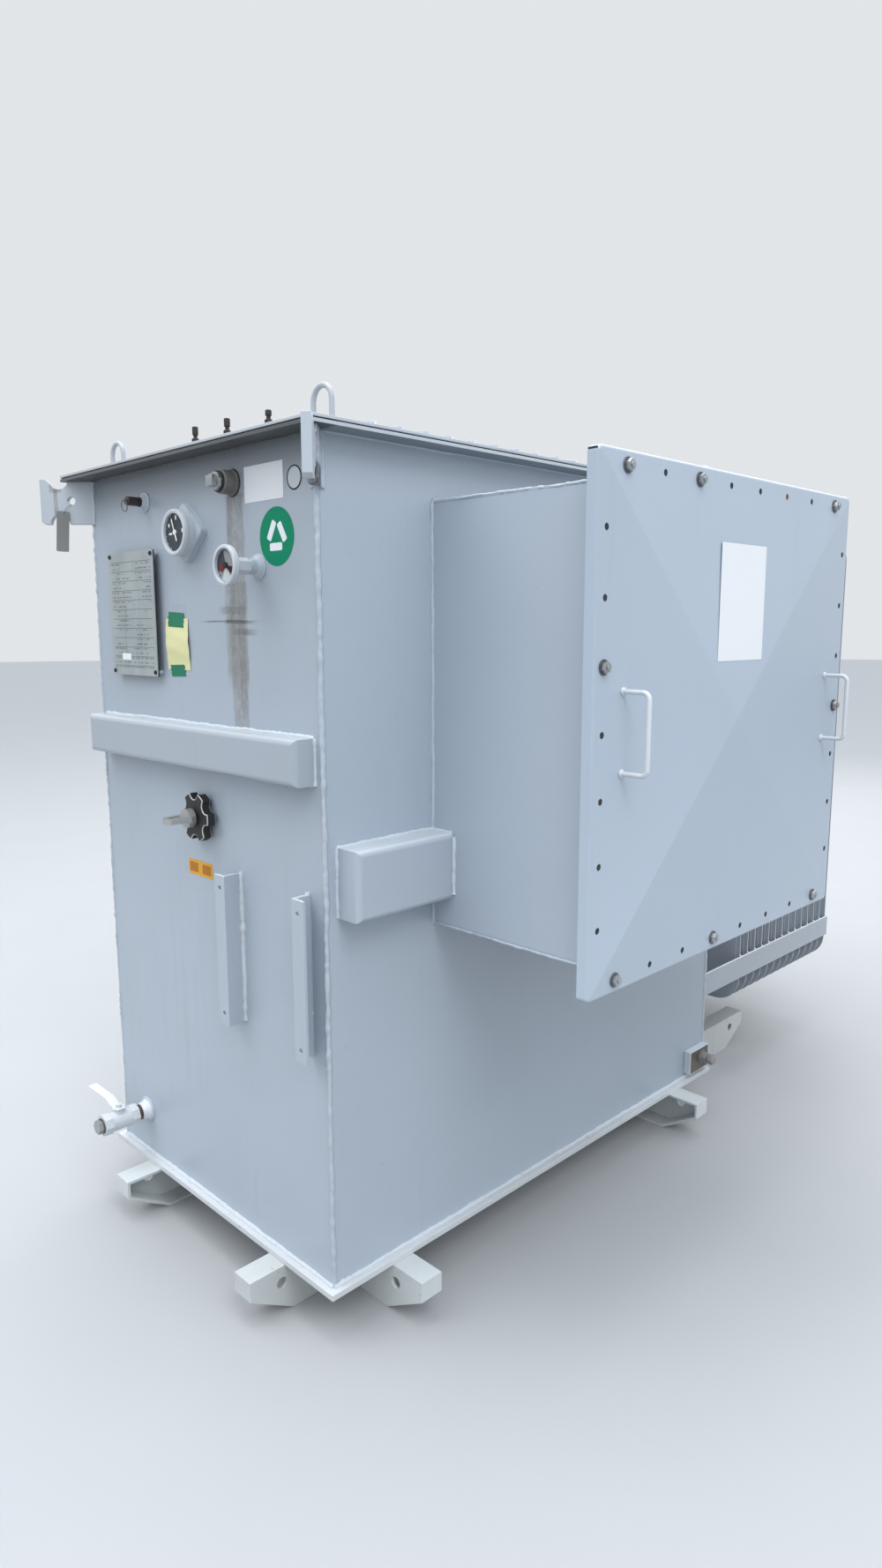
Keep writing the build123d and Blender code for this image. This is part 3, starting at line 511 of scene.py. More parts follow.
# material name, colour, coat, bump, mottle, streaks, specks, rusting, roughness
paintRows = {
    "front": ("frontWallPaint", paleGrey, 0.2, 0.16, 0.07, 0.10, 0.35, 0.0, 0.40),
    "wall": ("wallPaint", paleGrey, 0.25, 0.14, 0.05, 0.05, 0.3, 0.0, 0.34),
    "cover": ("coverPaint", (0.47, 0.51, 0.56), 0.1, 0.25, 0.20, 0.0, 0.9, 0.25, 0.46),
    "roof": ("throatRoofPaint", paleGrey, 0.25, 0.14, 0.05, 0.05, 0.3, 0.0, 0.34),
    "trim": ("bracePaint", (0.415, 0.47, 0.535), 0.2, 0.16, 0.06, 0.08, 0.4, 0.0, 0.36),
    # painted shade: a darker copy of the brace paint for the front brace
    "shadedFrontBrace": ("frontBraceShadedPaint", (0.365, 0.410, 0.460), 0.2, 0.16, 0.06, 0.08, 0.4, 0.0, 0.36),
    "weld": ("weldPaint", (0.455, 0.515, 0.585), 0.2, 0.4, 0.12, 0.2, 0.6, 0.08, 0.38),
    "brightWeld": ("brightWeldPaint", (0.585, 0.635, 0.685), 0.2, 0.4, 0.10, 0.2, 0.8, 0.10, 0.38),
    # painted shade: a dark copy of the weld paint for the weld under the front rim
    "shadedWeld": ("shadedWeldPaint", (0.085, 0.093, 0.10), 0.0, 0.4, 0.2, 0.2, 0.4, 0.0, 0.5),
    "base": ("basePaint", (0.62, 0.645, 0.665), 0.1, 0.25, 0.15, 0.1, 0.9, 0.30, 0.45),
    "skid": ("skidPaint", (0.60, 0.635, 0.64), 0.0, 0.35, 0.28, 0.2, 1.0, 0.30, 0.5),
    "white": ("rodWhitePaint", (0.66, 0.69, 0.73), 0.3, 0.25, 0.06, 0.2, 0.3, 0.0, 0.3),
    "valve": ("valveWhitePaint", (0.60, 0.635, 0.67), 0.2, 0.4, 0.25, 0.2, 0.9, 0.18, 0.36),
    "lug": ("lugPaint", (0.47, 0.52, 0.575), 0.15, 0.25, 0.12, 0.15, 0.9, 0.26, 0.4),
    "fin": ("finPaint", (0.365, 0.405, 0.455), 0.2, 0.16, 0.12, 0.15, 0.5, 0.0, 0.36),
}
dripsOn = {"front": frontDrips, "lug": lugDrips}
# painted light on the tops of braces, trim and fins; painted shade on the tops of the cover and throat roof
topLightingOn = {"cover": levelShade, "roof": levelShade, "trim": (0.53, 0.57, 0.605), "shadedFrontBrace": (0.49, 0.52, 0.55),
    "fin": (0.78, 0.81, 0.84)}
soilOn = {"valve": (0.22, 0.20, 0.17)}
paint = {}
for key, (name, colour, coat, bump, mottle, streaks, specks, rusting, roughness) in paintRows.items():
    paint[key] = coatMaterial(name, colour, dripsOn.get(key, ()), coat=coat, bump=bump, Grime=soilOn.get(key, grime),
        Mottle=mottle, Streaks=streaks, Specks=specks, Rusting=rusting, Roughness=roughness)
    if key in topLightingOn:
        paintTopLighting(paint[key], topLightingOn[key])


def shadeWalls():
    # painted shade: the front wall darker under its rim and towards its top, and the right wall darker at its far end
    # low down
    tree, base, place = colourLink(paint["front"])
    up = axesOf(tree, place)[2]
    underRimShade = rampNode(tree, up, rimZ - 0.110, rimZ - 0.004, 1.0, 0.46)
    upper = rampNode(tree, up, wallZ + 0.35, rimZ - 0.12, 1.0, 0.89)
    shadeBase(paint["front"], times(tree, underRimShade, upper))
    tree, base, place = colourLink(paint["wall"])
    split = axesOf(tree, place)
    far = rampNode(tree, split[1], frontY + 0.55, rearY)
    low = rampNode(tree, split[2], wallZ + 0.62, wallZ + 0.25)
    fade = times(tree, times(tree, far, low), 0.15)
    shadeBase(paint["wall"], minus(tree, 1.0, fade))


shadeWalls()


def buildPanPaint():
    # painted light and shade on the leaves of the shallow cross break: its upper leaf paler, its lower leaf darker,
    # the side leaves graded
    material = coatMaterial("throatCoverPaint", (0.404, 0.4775, 0.562), coat=0.35, bump=0.12, Mottle=0.04,
        Streaks=0.05, Specks=0.15, Roughness=0.28)
    tree, base, place = colourLink(material)
    split = axesOf(tree, place)
    along = mathNode(tree, "DIVIDE", minus(tree, split[1], panMidY), (panHigh.y - panLow.y) / 2)
    up = mathNode(tree, "DIVIDE", minus(tree, split[2], panMidZ), (panHigh.z - panLow.z) / 2)
    lead = minus(tree, mathNode(tree, "ABSOLUTE", up), mathNode(tree, "ABSOLUTE", along))
    upright = rampNode(tree, lead, -0.006, 0.006)
    wayUp, wayAlong = mathNode(tree, "SIGN", up), mathNode(tree, "SIGN", along)
    leaf = plus(tree, -0.001, times(tree, wayUp, 0.048))
    slope = times(tree, up, plus(tree, -0.019, times(tree, wayAlong, 0.032)))
    side = plus(tree, slope, plus(tree, -0.001, times(tree, wayAlong, -0.030)))
    shade = plus(tree, times(tree, upright, leaf), times(tree, minus(tree, 1.0, upright), side))
    return shadeBase(material, plus(tree, 1.0, shade))


def buildShadedRimPaint(name, edgeShade, underShade):
    # painted shade and light: faces that point down take the dark under colour, faces that point sideways are paler,
    # the rest keep the edge colour, which is dark on the front flange
    material = coatMaterial(name, edgeShade, coat=0.1, bump=0.3, Mottle=0.2, Specks=0.8, Rusting=0.2, Roughness=0.45)
    tree, base, place = colourLink(material)
    facing = facingOf(tree)
    sideways = rampNode(tree, mathNode(tree, "ABSOLUTE", facing[0]), 0.4, 0.8)
    colour = mixColour(tree, sideways, base.links[0].from_socket, (0.46, 0.50, 0.54, 1))
    tree.links.new(mixColour(tree, rampNode(tree, facing[2], -0.2, -0.7), colour, (*underShade, 1)), base)
    return material


paint["pan"] = buildPanPaint()
paint["finSeam"] = coatMaterial("finSeamPaint", (0.60, 0.645, 0.69), coat=0.2, bump=0.1, Mottle=0.1, Specks=0.3,
    Roughness=0.4)
paint["loop"] = coatMaterial("loopRodPaint", (0.42, 0.455, 0.49), coat=0.1, bump=0.15, Mottle=0.06, Specks=0.15,
    Roughness=0.4)
paint["rimEnd"] = buildShadedRimPaint("frontRimShadedPaint", (0.078, 0.085, 0.09), (0.058, 0.064, 0.068))
paint["rimSide"] = buildShadedRimPaint("sideRimShadedPaint", (0.50, 0.545, 0.59), (0.21, 0.24, 0.27))
# material name, colour, grime, metallic, coat, bump, mottle, specks, rusting, roughness
metalRows = {
    "zinc": ("zincPlate", (0.44, 0.46, 0.48), (0.14, 0.135, 0.13), 0.9, 0.0, 0.3, 0.4, 0.6, 0.12, 0.34),
    "steelRim": ("gaugeRim", (0.52, 0.56, 0.61), grime, 0.0, 0.3, 0.1, 0.1, 0.3, 0.0, 0.3),
    "bronze": ("padBronze", (0.25, 0.225, 0.19), (0.07, 0.06, 0.05), 0.7, 0.0, 0.35, 0.5, 0.6, 0.0, 0.42),
    "rustBrown": ("rustyCoupling", (0.17, 0.165, 0.16), (0.10, 0.09, 0.08), 0.0, 0.0, 0.5, 0.5, 0.8, 0.3, 0.6),
    "threadBrown": ("threadBrown", (0.13, 0.095, 0.075), (0.04, 0.03, 0.025), 0.4, 0.0, 0.4, 0.5, 0.6, 0.0, 0.5),
    "rustStain": ("holeRustStain", (0.17, 0.085, 0.035), (0.05, 0.03, 0.02), 0.0, 0.0, 0.4, 0.6, 0.6, 0.0, 0.7),
    "darkCast": ("indexCasting", (0.018, 0.017, 0.017), (0.05, 0.046, 0.043), 0.0, 0.0, 0.5, 0.5, 0.5, 0.0, 0.6),
    "wornEdge": ("wornCastEdge", (0.60, 0.60, 0.58), (0.08, 0.08, 0.075), 0.3, 0.0, 0.25, 0.75, 0.9, 0.0, 0.5),
    "alloy": ("handleAlloy", (0.46, 0.46, 0.45), (0.10, 0.09, 0.08), 0.8, 0.0, 0.5, 0.6, 0.9, 0.0, 0.45),
    "washer": ("dullWasher", (0.16, 0.165, 0.17), (0.06, 0.055, 0.05), 0.8, 0.0, 0.3, 0.5, 0.6, 0.0, 0.5),
    "studBrown": ("terminalBrown", (0.020, 0.017, 0.016), (0.05, 0.035, 0.028), 0.0, 0.0, 0.4, 0.4, 0.5, 0.0, 0.6),
    "resin": ("bushingResin", (0.030, 0.026, 0.024), (0.10, 0.08, 0.07), 0.0, 0.2, 0.2, 0.3, 0.4, 0.0, 0.45),
    "rubber": ("gasketRubber", (0.020, 0.020, 0.021), (0.08, 0.075, 0.07), 0.0, 0.0, 0.3, 0.3, 0.3, 0.0, 0.75),
    "redBrown": ("reliefBarrel", (0.040, 0.030, 0.028), (0.06, 0.035, 0.028), 0.3, 0.2, 0.3, 0.5, 0.5, 0.0, 0.4),
}
metal = {}
for key, (name, colour, soil, metallic, coat, bump, mottle, specks, rusting, roughness) in metalRows.items():
    rust = {"Rust": (0.11, 0.06, 0.04)} if key == "rustBrown" else {}
    metal[key] = coatMaterial(name, colour, metallic=metallic, coat=coat, bump=bump, Grime=soil, Mottle=mottle,
        Specks=specks, Rusting=rusting, Roughness=roughness, **rust)
print("materials made")

# tank, skids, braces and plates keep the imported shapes, with their edges eased

softened = {
    "front_wall": ("front", 0.0), "rear_wall": ("wall", 0.0), "left_wall": ("wall", 0.0), "right_wall": ("wall", 0.0),
    "throat_roof_and_floor": ("roof", 0.0008), "throat_sides": ("wall", 0.0008),
    "throat_flange_level_bars": ("trim", 0.0008), "throat_flange_upright_bars": ("trim", 0.0008),
    "base_plate": ("base", 0.0012), "rim_flange_ends": ("rimEnd", 0.0008), "rim_flange_sides": ("rimSide", 0.0008),
    "tank_cover": ("cover", 0.0010), "skid_channel_left": ("skid", 0.0022), "skid_channel_right": ("skid", 0.0022),
    "cross_channel_front": ("skid", 0.0022), "cross_channel_rear": ("skid", 0.0022),
    "front_brace": ("shadedFrontBrace", 0.0), "rear_brace": ("trim", 0.0), "left_brace": ("trim", 0.0),
    "side_braces": ("trim", 0.0),
    "angle_rails": ("trim", 0.0012), "throat_cover": ("pan", 0.0), "lifting_lugs": ("lug", 0.0012),
    "radiator_headers": ("fin", 0.0012), "radiator_straps": ("fin", 0.0012),
}
for nodeName, (finish, width) in softened.items():
    slotName = "skid_paint" if finish == "skid" else "tank_paint"
    if width:
        softenNode(nodeName, paint[finish], width, slot=slotName)
    else:
        repaintNode(nodeName, paint[finish])

# fins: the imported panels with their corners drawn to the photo's wider curve
finCorner = {"packed": 0.045, "wide": 0.070, "first": 0.196, "pitch": 0.0415, "count": 14,
    "cuts": (0.070, 0.064, 0.058, 0.051), "seam": 0.0012}
cornerWide = finCorner["wide"]
finLow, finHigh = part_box("radiator_fins")
finMid = (finLow + finHigh) / 2
finHalfX, finHalfZ = (finHigh.x - finLow.x) / 2, (finHigh.z - finLow.z) / 2
bm = mergedNode("radiator_fins")
for inset in finCorner["cuts"]:
    for side in (-1, 1):
        for spot, way in (((finMid.x + side * (finHalfX - inset), 0, 0), (1, 0, 0)),
                ((0, 0, finMid.z + side * (finHalfZ - inset)), (0, 0, 1))):
            bmesh.ops.bisect_plane(bm, geom=bm.verts[:] + bm.edges[:] + bm.faces[:], plane_co=spot, plane_no=way)
slack = cornerWide - finCorner["packed"]
for vert in bm.verts:
    wayX, wayZ = 1 if vert.co.x > finMid.x else -1, 1 if vert.co.z > finMid.z else -1
    offX = (vert.co.x - finMid.x) * wayX - (finHalfX - cornerWide)
    offZ = (vert.co.z - finMid.z) * wayZ - (finHalfZ - cornerWide)
    if offX <= 0 or offZ <= 0:
        continue
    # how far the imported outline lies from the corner's middle, along this vertex's direction
    size = sqrt(offX * offX + offZ * offZ)
    dirX, dirZ = offX / size, offZ / size
    reach = cornerWide / max(dirX, dirZ)
    if reach * min(dirX, dirZ) > slack:
        lean = slack * (dirX + dirZ)
        reach = lean + sqrt(lean * lean - 2 * slack * slack + finCorner["packed"] ** 2)
    share = cornerWide / reach
    vert.co.x = finMid.x + wayX * (finHalfX - cornerWide + offX * share)
    vert.co.z = finMid.z + wayZ * (finHalfZ - cornerWide + offZ * share)
finPiece = finishPiece(bm, "radiator_fins_body", paint["fin"], replaced=["radiator_fins"])
finPiece.data.materials.append(paint["finSeam"])
for face in finPiece.data.polygons:
    face.use_smooth = abs(face.normal.y) < 0.99
    # painted highlight: the seam's narrow outer edge gets the paler seam paint
    offX = abs(face.center.x - finMid.x) - finHalfX
    offZ = abs(face.center.z - finMid.z) - finHalfZ
    roundX, roundZ = offX + cornerWide, offZ + cornerWide
    past = max(offX, offZ)
    if roundX > 0 and roundZ > 0:
        past = sqrt(roundX * roundX + roundZ * roundZ) - cornerWide
    if past > -finCorner["seam"] and abs(face.normal.y) < 0.5:
        face.material_index = 1
repaintNode("cover_gasket", metal["rubber"])
print("packed shapes dressed:", len(softened))

# weld beads

welds = {"pitch": 0.0062, "jitter": 0.0005, "swing": 0.20, "drift": 0.0008, "stopEvery": 19, "stopSwell": 1.28,
    "seed": 11}
dice = Random(welds["seed"])


def beadRun(start, end):
    # beads with a slow drift, and a thicker lump wherever the welder stopped
    start, end = Vector(start), Vector(end)
    count = max(2, int((end - start).length / welds["pitch"]))
    run, wander, body = [], Vector(), 1.0
    for step in range(count + 1):
        push = Vector([dice.uniform(-1, 1) * welds["jitter"] for axis in range(3)])
        wander = wander * 0.85 + Vector([dice.uniform(-1, 1) * welds["drift"] * 0.5 for axis in range(3)])
        body = 1 + (body - 1) * 0.8 + dice.uniform(-1, 1) * 0.07
        swell = body + dice.uniform(-1, 1) * welds["swing"]
        if dice.random() < 1 / welds["stopEvery"]:
            swell *= welds["stopSwell"]
        run.append((start.lerp(end, step / count) + push + wander, swell))
    return run


def beadRing(place, radius):
    count = max(14, int(2 * pi * radius / welds["pitch"]))
    run = []
    for step in range(count):
        turn = 2 * pi * step / count
        push = dice.uniform(-1, 1) * welds["jitter"]
        run.append((place @ Vector(((radius + push) * cos(turn), (radius + push) * sin(turn), 0)),
            1 + dice.uniform(-1, 1) * welds["swing"]))
    return run


def weldPiece(name, lines, radius, rings=(), material="weld"):
    bm = bmesh.new()
    if lines:
        tubeRuns(bm, [beadRun(*line) for line in lines], radius, resolution=1)
    if rings:
        tubeRuns(bm, [beadRing(place, ringRadius) for place, ringRadius in rings], radius, closed=True, resolution=1)
    return finishPiece(bm, name, paint[material], smoothAngle=80)


inset, leftInset = 0.0015, 0.0028
cornerLines = [((x, y, wallZ), (x, y, rimZ)) for x in (leftX + leftInset, rightX - inset)
    for y in (frontY + inset, rearY - inset)]
weldPiece("left_corner_welds", cornerLines[:2], 0.0036)
weldPiece("right_corner_welds", cornerLines[2:], 0.0046)

footZ = wallZ + 0.0008
ring = [(leftX, frontY), (rightX, frontY), (rightX, rearY), (leftX, rearY), (leftX, frontY)]
weldPiece("base_welds", [((*a, footZ), (*b, footZ)) for a, b in zip(ring, ring[1:])], 0.0052, material="brightWeld")
rimLines = [((*a, rimZ), (*b, rimZ)) for a, b in zip(ring, ring[1:])]
# painted shade: the weld under the front rim is drawn dark
weldPiece("front_rim_weld", rimLines[:1], 0.0028, material="shadedWeld")
weldPiece("rim_welds", rimLines[1:], 0.0030)

tLow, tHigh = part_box("throat_roof_and_floor")
square = [(tLow.y, tLow.z), (tHigh.y, tLow.z), (tHigh.y, tHigh.z), (tLow.y, tHigh.z), (tLow.y, tLow.z)]
weldPiece("throat_welds", [((rightX + 0.001, *a), (rightX + 0.001, *b)) for a, b in zip(square, square[1:])], 0.0040)
weldPiece("throat_edge_welds", [((rightX, y, z), (tHigh.x, y, z)) for y in (tLow.y + 0.0015, tHigh.y - 0.0015)
    for z in (tLow.z + 0.0015, tHigh.z - 0.0015)], 0.0026)


def braceSquare(low, high, face):
    # the four lines where a brace meets its wall
    if face in ("front", "rear"):
        y = frontY if face == "front" else rearY
        corners = [(low.x, y, low.z), (high.x, y, low.z), (high.x, y, high.z), (low.x, y, high.z)]
    else:
        x = leftX if face == "left" else rightX
        corners = [(x, low.y, low.z), (x, high.y, low.z), (x, high.y, high.z), (x, low.y, high.z)]
    return list(zip(corners, corners[1:] + corners[:1]))


braceLines = braceSquare(*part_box("front_brace"), "front") + braceSquare(*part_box("rear_brace"), "rear")
braceLines += braceSquare(*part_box("left_brace"), "left")
sideLow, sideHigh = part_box("side_braces")
for startY, endY in ((sideLow.y, tLow.y), (tHigh.y, sideHigh.y)):
    braceLines += braceSquare(Vector((rightX, startY, sideLow.z)), Vector((sideHigh.x, endY, sideHigh.z)), "right")
weldPiece("brace_welds", braceLines, 0.0042, material="brightWeld")
throatEnds = []
for y in (tLow.y, tHigh.y):
    for z in (sideLow.z + 0.003, sideHigh.z - 0.003):
        throatEnds.append(((rightX, y, z), (sideHigh.x - 0.006, y, z)))
    throatEnds.append(((sideHigh.x - 0.002, y, sideLow.z + 0.008), (sideHigh.x - 0.002, y, sideHigh.z - 0.008)))
weldPiece("brace_end_welds", throatEnds, 0.0050, material="brightWeld")
print("long welds laid")

# cover bolts along the two sides

coverBolts = {"pitch": 0.0575, "fromEdge": 0.0215, "start": 0.092, "flats": 0.0155, "height": 0.0058,
    "washer": 0.0125, "washerThick": 0.0016}
bm = bmesh.new()
boltCount = int((rearY - frontY - 2 * coverBolts["start"]) / coverBolts["pitch"]) + 1
for x in (coverLow.x + coverBolts["fromEdge"], coverHigh.x - coverBolts["fromEdge"]):
    for index in range(boltCount):
        spot = onTop(x, frontY + coverBolts["start"] + index * coverBolts["pitch"])
        lathe(bm, spot, discProfile(coverBolts["washer"], coverBolts["washerThick"]), 16)
        hexPrism(bm, spot @ lift(coverBolts["washerThick"]), coverBolts["flats"], coverBolts["height"], 0.0012,
            turn=dice.uniform(0, pi / 3))
finishPiece(bm, "cover_bolts", paint["trim"])

# rod loops, with their small foot welds

loops = {"rod": 0.00475, "width": 0.047, "height": 0.070, "insetX": 0.038, "insetY": 0.045}
bm = bmesh.new()
runs, feet = [], []
for x, wayX in ((leftX, 1), (rightX, -1)):
    for y, wayY in ((frontY, 1), (rearY, -1)):
        midX, midY, half = x + wayX * loops["insetX"], y + wayY * loops["insetY"], loops["width"] / 2
        shoulder = loops["height"] - loops["rod"] - half
        line = [Vector((midX - half, midY, topZ)), Vector((midX - half, midY, topZ + shoulder))]
        for step in range(1, 13):
            turn = pi - pi * step / 13
            line.append(Vector((midX + half * cos(turn), midY, topZ + shoulder + half * sin(turn))))
        line += [Vector((midX + half, midY, topZ + shoulder)), Vector((midX + half, midY, topZ))]
        runs.append([(point, 1.0) for point in line])
        feet += [(onTop(midX + side * half, midY, 0.001), loops["rod"] + 0.0005) for side in (-1, 1)]
tubeRuns(bm, runs, loops["rod"], resolution=4)
finishPiece(bm, "cover_loop_rods", paint["loop"], smoothAngle=50, replaced=["cover_loops"])
weldPiece("loop_foot_welds", [], 0.0024, feet)

# throat cover handles

grips = {"rod": 0.004, "span": 0.127, "reach": 0.0477, "bend": 0.011, "fromEdge": 0.074, "rise": 0.0012}
bm = bmesh.new()
runs, feet = [], []
panWide = panHigh.y - panLow.y
for side in (-1, 1):
    along = side * (panWide / 2 - grips["fromEdge"])
    half, bend, reach = grips["span"] / 2, grips["bend"], grips["reach"]
    flat = [(0, half)]
    flat += [(reach - bend + bend * sin(t * pi / 12), half - bend + bend * cos(t * pi / 12)) for t in range(7)]
    flat += [(reach - bend + bend * cos(t * pi / 12), -half + bend - bend * sin(t * pi / 12)) for t in range(7)]
    flat += [(0, -half)]
    runs.append([(onPan(along, up, out).translation, 1.0) for out, up in flat])
    feet += [(onPan(along, side2 * half, grips["rise"]), grips["rod"] + 0.0006) for side2 in (-1, 1)]
tubeRuns(bm, runs, grips["rod"], resolution=4)
finishPiece(bm, "throat_handle_rods", paint["white"], slot="white_rod", smoothAngle=50, replaced=["throat_handles"])
weldPiece("handle_foot_welds", [], 0.0026, feet, "white")

# bolts and washers in the throat cover

panBolts = {"pitch": 0.1016, "margin": 0.0225, "flats": 0.0165, "height": 0.0068, "washer": 0.0122,
    "washerThick": 0.0020, "shank": 0.0048, "shankOut": 0.0030}
panTall = panHigh.z - panLow.z
rowUp, columnAlong, pitch = panTall / 2 - panBolts["margin"], panWide / 2 - panBolts["margin"], panBolts["pitch"]
boltSpots = [(-3.5 * pitch, rowUp), (-1.5 * pitch, rowUp), (3.5 * pitch, rowUp), (-3.5 * pitch, -rowUp),
    (-0.5 * pitch, -rowUp), (3.5 * pitch, -rowUp), (-columnAlong, pitch), (columnAlong, 0)]
headBm, washerBm = bmesh.new(), bmesh.new()
washer, washerThick, shank, shankOut = (panBolts[key] for key in ("washer", "washerThick", "shank", "shankOut"))
for along, up in boltSpots:
    spot = onPan(along, up)
    lathe(washerBm, spot, [(0, 0), (washer, 0), (washer, washerThick * 0.7), (washer - 0.0006, washerThick),
        (0, washerThick)], 28)
    seat = spot @ lift(washerThick)
    hexPrism(headBm, seat, panBolts["flats"], panBolts["height"], 0.0013, turn=dice.uniform(0, pi / 3))
    lathe(headBm, seat @ lift(panBolts["height"]), [(0, -0.001), (shank, -0.001), (shank, shankOut - 0.0006),
        (shank - 0.0008, shankOut), (0, shankOut)], 16)
holeBm, rustyBm = bmesh.new(), bmesh.new()
hole = {"radius": 0.0054, "thick": 0.0006, "sunk": -0.0014}
holeSpots = [((index - 3.5) * pitch, side * rowUp) for index in range(8) for side in (-1, 1)]
holeSpots += [(side * columnAlong, (index - 3) * pitch) for index in range(7) for side in (-1, 1)]
for along, up in holeSpots:
    if min(abs(along - a) + abs(up - b) for a, b in boltSpots) > 0.01:
        rusty = up > 0.3 and abs(along - 1.5 * pitch) < 0.01
        lathe(rustyBm if rusty else holeBm, onPan(along, up, hole["sunk"]),
            discProfile(hole["radius"], hole["thick"]), 20)
finishPiece(holeBm, "throat_hole_shadows", metal["rubber"])
bm = bmesh.new()
# painted shade: dark strips along the cover's two ends near its top, where its folds leave a gap
foldGapShade = {"drop": 0.0048, "tall": 0.0030, "fromFront": 0.0030, "fromBack": 0.001, "proud": 0.0004}
startX, endX = panLow.x + foldGapShade["fromBack"], panFace - foldGapShade["fromFront"]
for side, y in ((-1, panLow.y), (1, panHigh.y)):
    spot = shift((startX + endX) / 2, y - side * foldGapShade["proud"] / 2, panHigh.z - foldGapShade["drop"])
    block(bm, spot, (endX - startX, foldGapShade["proud"], foldGapShade["tall"]))
finishPiece(bm, "throat_cover_fold_gap_shade", metal["rubber"])
finishPiece(rustyBm, "throat_hole_rust", metal["rustStain"])
finishPiece(headBm, "throat_cover_bolts", metal["zinc"], slot="zinc_steel")
finishPiece(washerBm, "throat_cover_washers", metal["washer"], slot="zinc_steel")
print("bolts, loops and handles made")

# level gauge: two diamond plates, a body, a rolled rim, the dial and its pointer

levelGauge = {**frontSpot("level_gauge"), "tall": 0.112, "wide": 0.126, "plate": 0.0065, "corner": 0.008,
    "body": 0.039, "rim": 0.0415, "rimThick": 0.010, "face": 0.0338, "sunk": 0.0065}


def paintFlat(name, colour, roughness=0.5, grit=0.1, coat=0.0, shine=0.3):
    material = coatMaterial(name, colour, coat=coat, bump=0.12, Grime=tuple(c * 0.45 for c in colour), Mottle=grit,
        Specks=grit * 2, Streaks=0.0, Roughness=roughness)
    material.node_tree.nodes["Principled BSDF"].inputs["Specular IOR Level"].default_value = shine
    return material


dial = {
    "dark": paintFlat("dialDark", (0.036, 0.046, 0.060), 0.5, 0.2, 0.1),
    "pale": paintFlat("dialPale", (0.56, 0.58, 0.59), 0.45, 0.2, 0.1),
    "grey": paintFlat("dialGrey", (0.28, 0.295, 0.31), 0.45, 0.3, 0.2),
    "white": paintFlat("pointerWhite", (0.80, 0.80, 0.78), 0.4, 0.1),
    "red": paintFlat("pointerRed", (0.17, 0.016, 0.024), 0.5, 0.2),
    "black": paintFlat("markBlack", (0.015, 0.015, 0.016), 0.5, 0.1),
}


def diamondPlate(bm, place, wide, tall, thick, corner):
    spots = ((0, tall / 2, 0), (-wide / 2, 0, 0), (0, -tall / 2, 0), (wide / 2, 0, 0))
    verts = [bm.verts.new(place @ Vector(spot)) for spot in spots]
    bm.faces.new(verts)
    made = roundOff(bm, verts, corner, 5, "VERTICES")
    face = next(f for f in bm.faces if f.is_valid and all(v in f.verts for v in made["verts"][:2]))
    roundOff(bm, raiseFace(bm, face, place, thick).edges[:], 0.0008)


g = levelGauge


def onFitting(out=0.0):
    # a place in front of the fitting whose values g holds
    return onFront(g["across"], g["up"], out)


bm = bmesh.new()
diamondPlate(bm, onFitting(), g["wide"], g["tall"], g["plate"] - 0.0006, g["corner"])
diamondPlate(bm, onFitting(g["plate"]), g["wide"] - 0.002, g["tall"] - 0.003, g["plate"], g["corner"])
finishPiece(bm, "level_gauge_plates", paint["trim"], replaced=["level_gauge_flange"])
bm = bmesh.new()
spot = onFitting(2 * g["plate"])
long = g["front"] - 2 * g["plate"]
rimBack = long - g["rimThick"]
lathe(bm, spot, [(0, 0), (g["body"], 0), (g["body"], rimBack - 0.0015), (g["rim"] - 0.0012, rimBack),
    (g["rim"], rimBack + 0.0015), (g["rim"], long - 0.003), (g["rim"] - 0.0012, long - 0.0006),
    (g["rim"] - 0.003, long), (g["face"] + 0.002, long - 0.0003), (g["face"], long - 0.0012),
    (g["face"], long - g["sunk"]), (0, long - g["sunk"])], 64)
finishPiece(bm, "level_gauge_case", metal["steelRim"], slot="gauge_case", replaced=["level_gauge"])
faceAt = onFitting(g["front"] - g["sunk"])
lathePiece("level_dial", faceAt, discProfile(g["face"] - 0.0003, 0.0006, 0.0001), dial["dark"], 56, slot="gauge_case")
bm = bmesh.new()
for turn, reach, wide, tall in ((-58, 0.0250, 0.0044, 0.0062), (8, 0.0262, 0.0042, 0.0075),
        (85, 0.0245, 0.0042, 0.0070), (-97, 0.0165, 0.0105, 0.0036)):
    mark = faceAt @ turnBy(-turn) @ shift(0, reach, 0.0008) @ turnBy(turn)
    block(bm, mark, (wide, tall, 0.0004), 0.0001)
for index in range(13):
    tick = faceAt @ turnBy(-150 + index * 25) @ shift(0, 0.0312, 0.0007)
    block(bm, tick, (0.0008, 0.0022, 0.0003))
pointer = faceAt @ turnBy(22)
for middle, wide, long in ((0.0125, 0.0030, 0.0270), (-0.0085, 0.0040, 0.0170)):
    block(bm, pointer @ shift(0, middle, 0.0024), (wide, long, 0.0007), 0.0003)
lathe(bm, faceAt @ lift(0.0006), [(0, 0), (0.0045, 0), (0.0045, 0.0022), (0.0038, 0.003), (0, 0.003)], 24)
finishPiece(bm, "level_marks", dial["white"], slot="gauge_case")

# dial thermometer: flared well, hex, stem, rim, face and its two hands

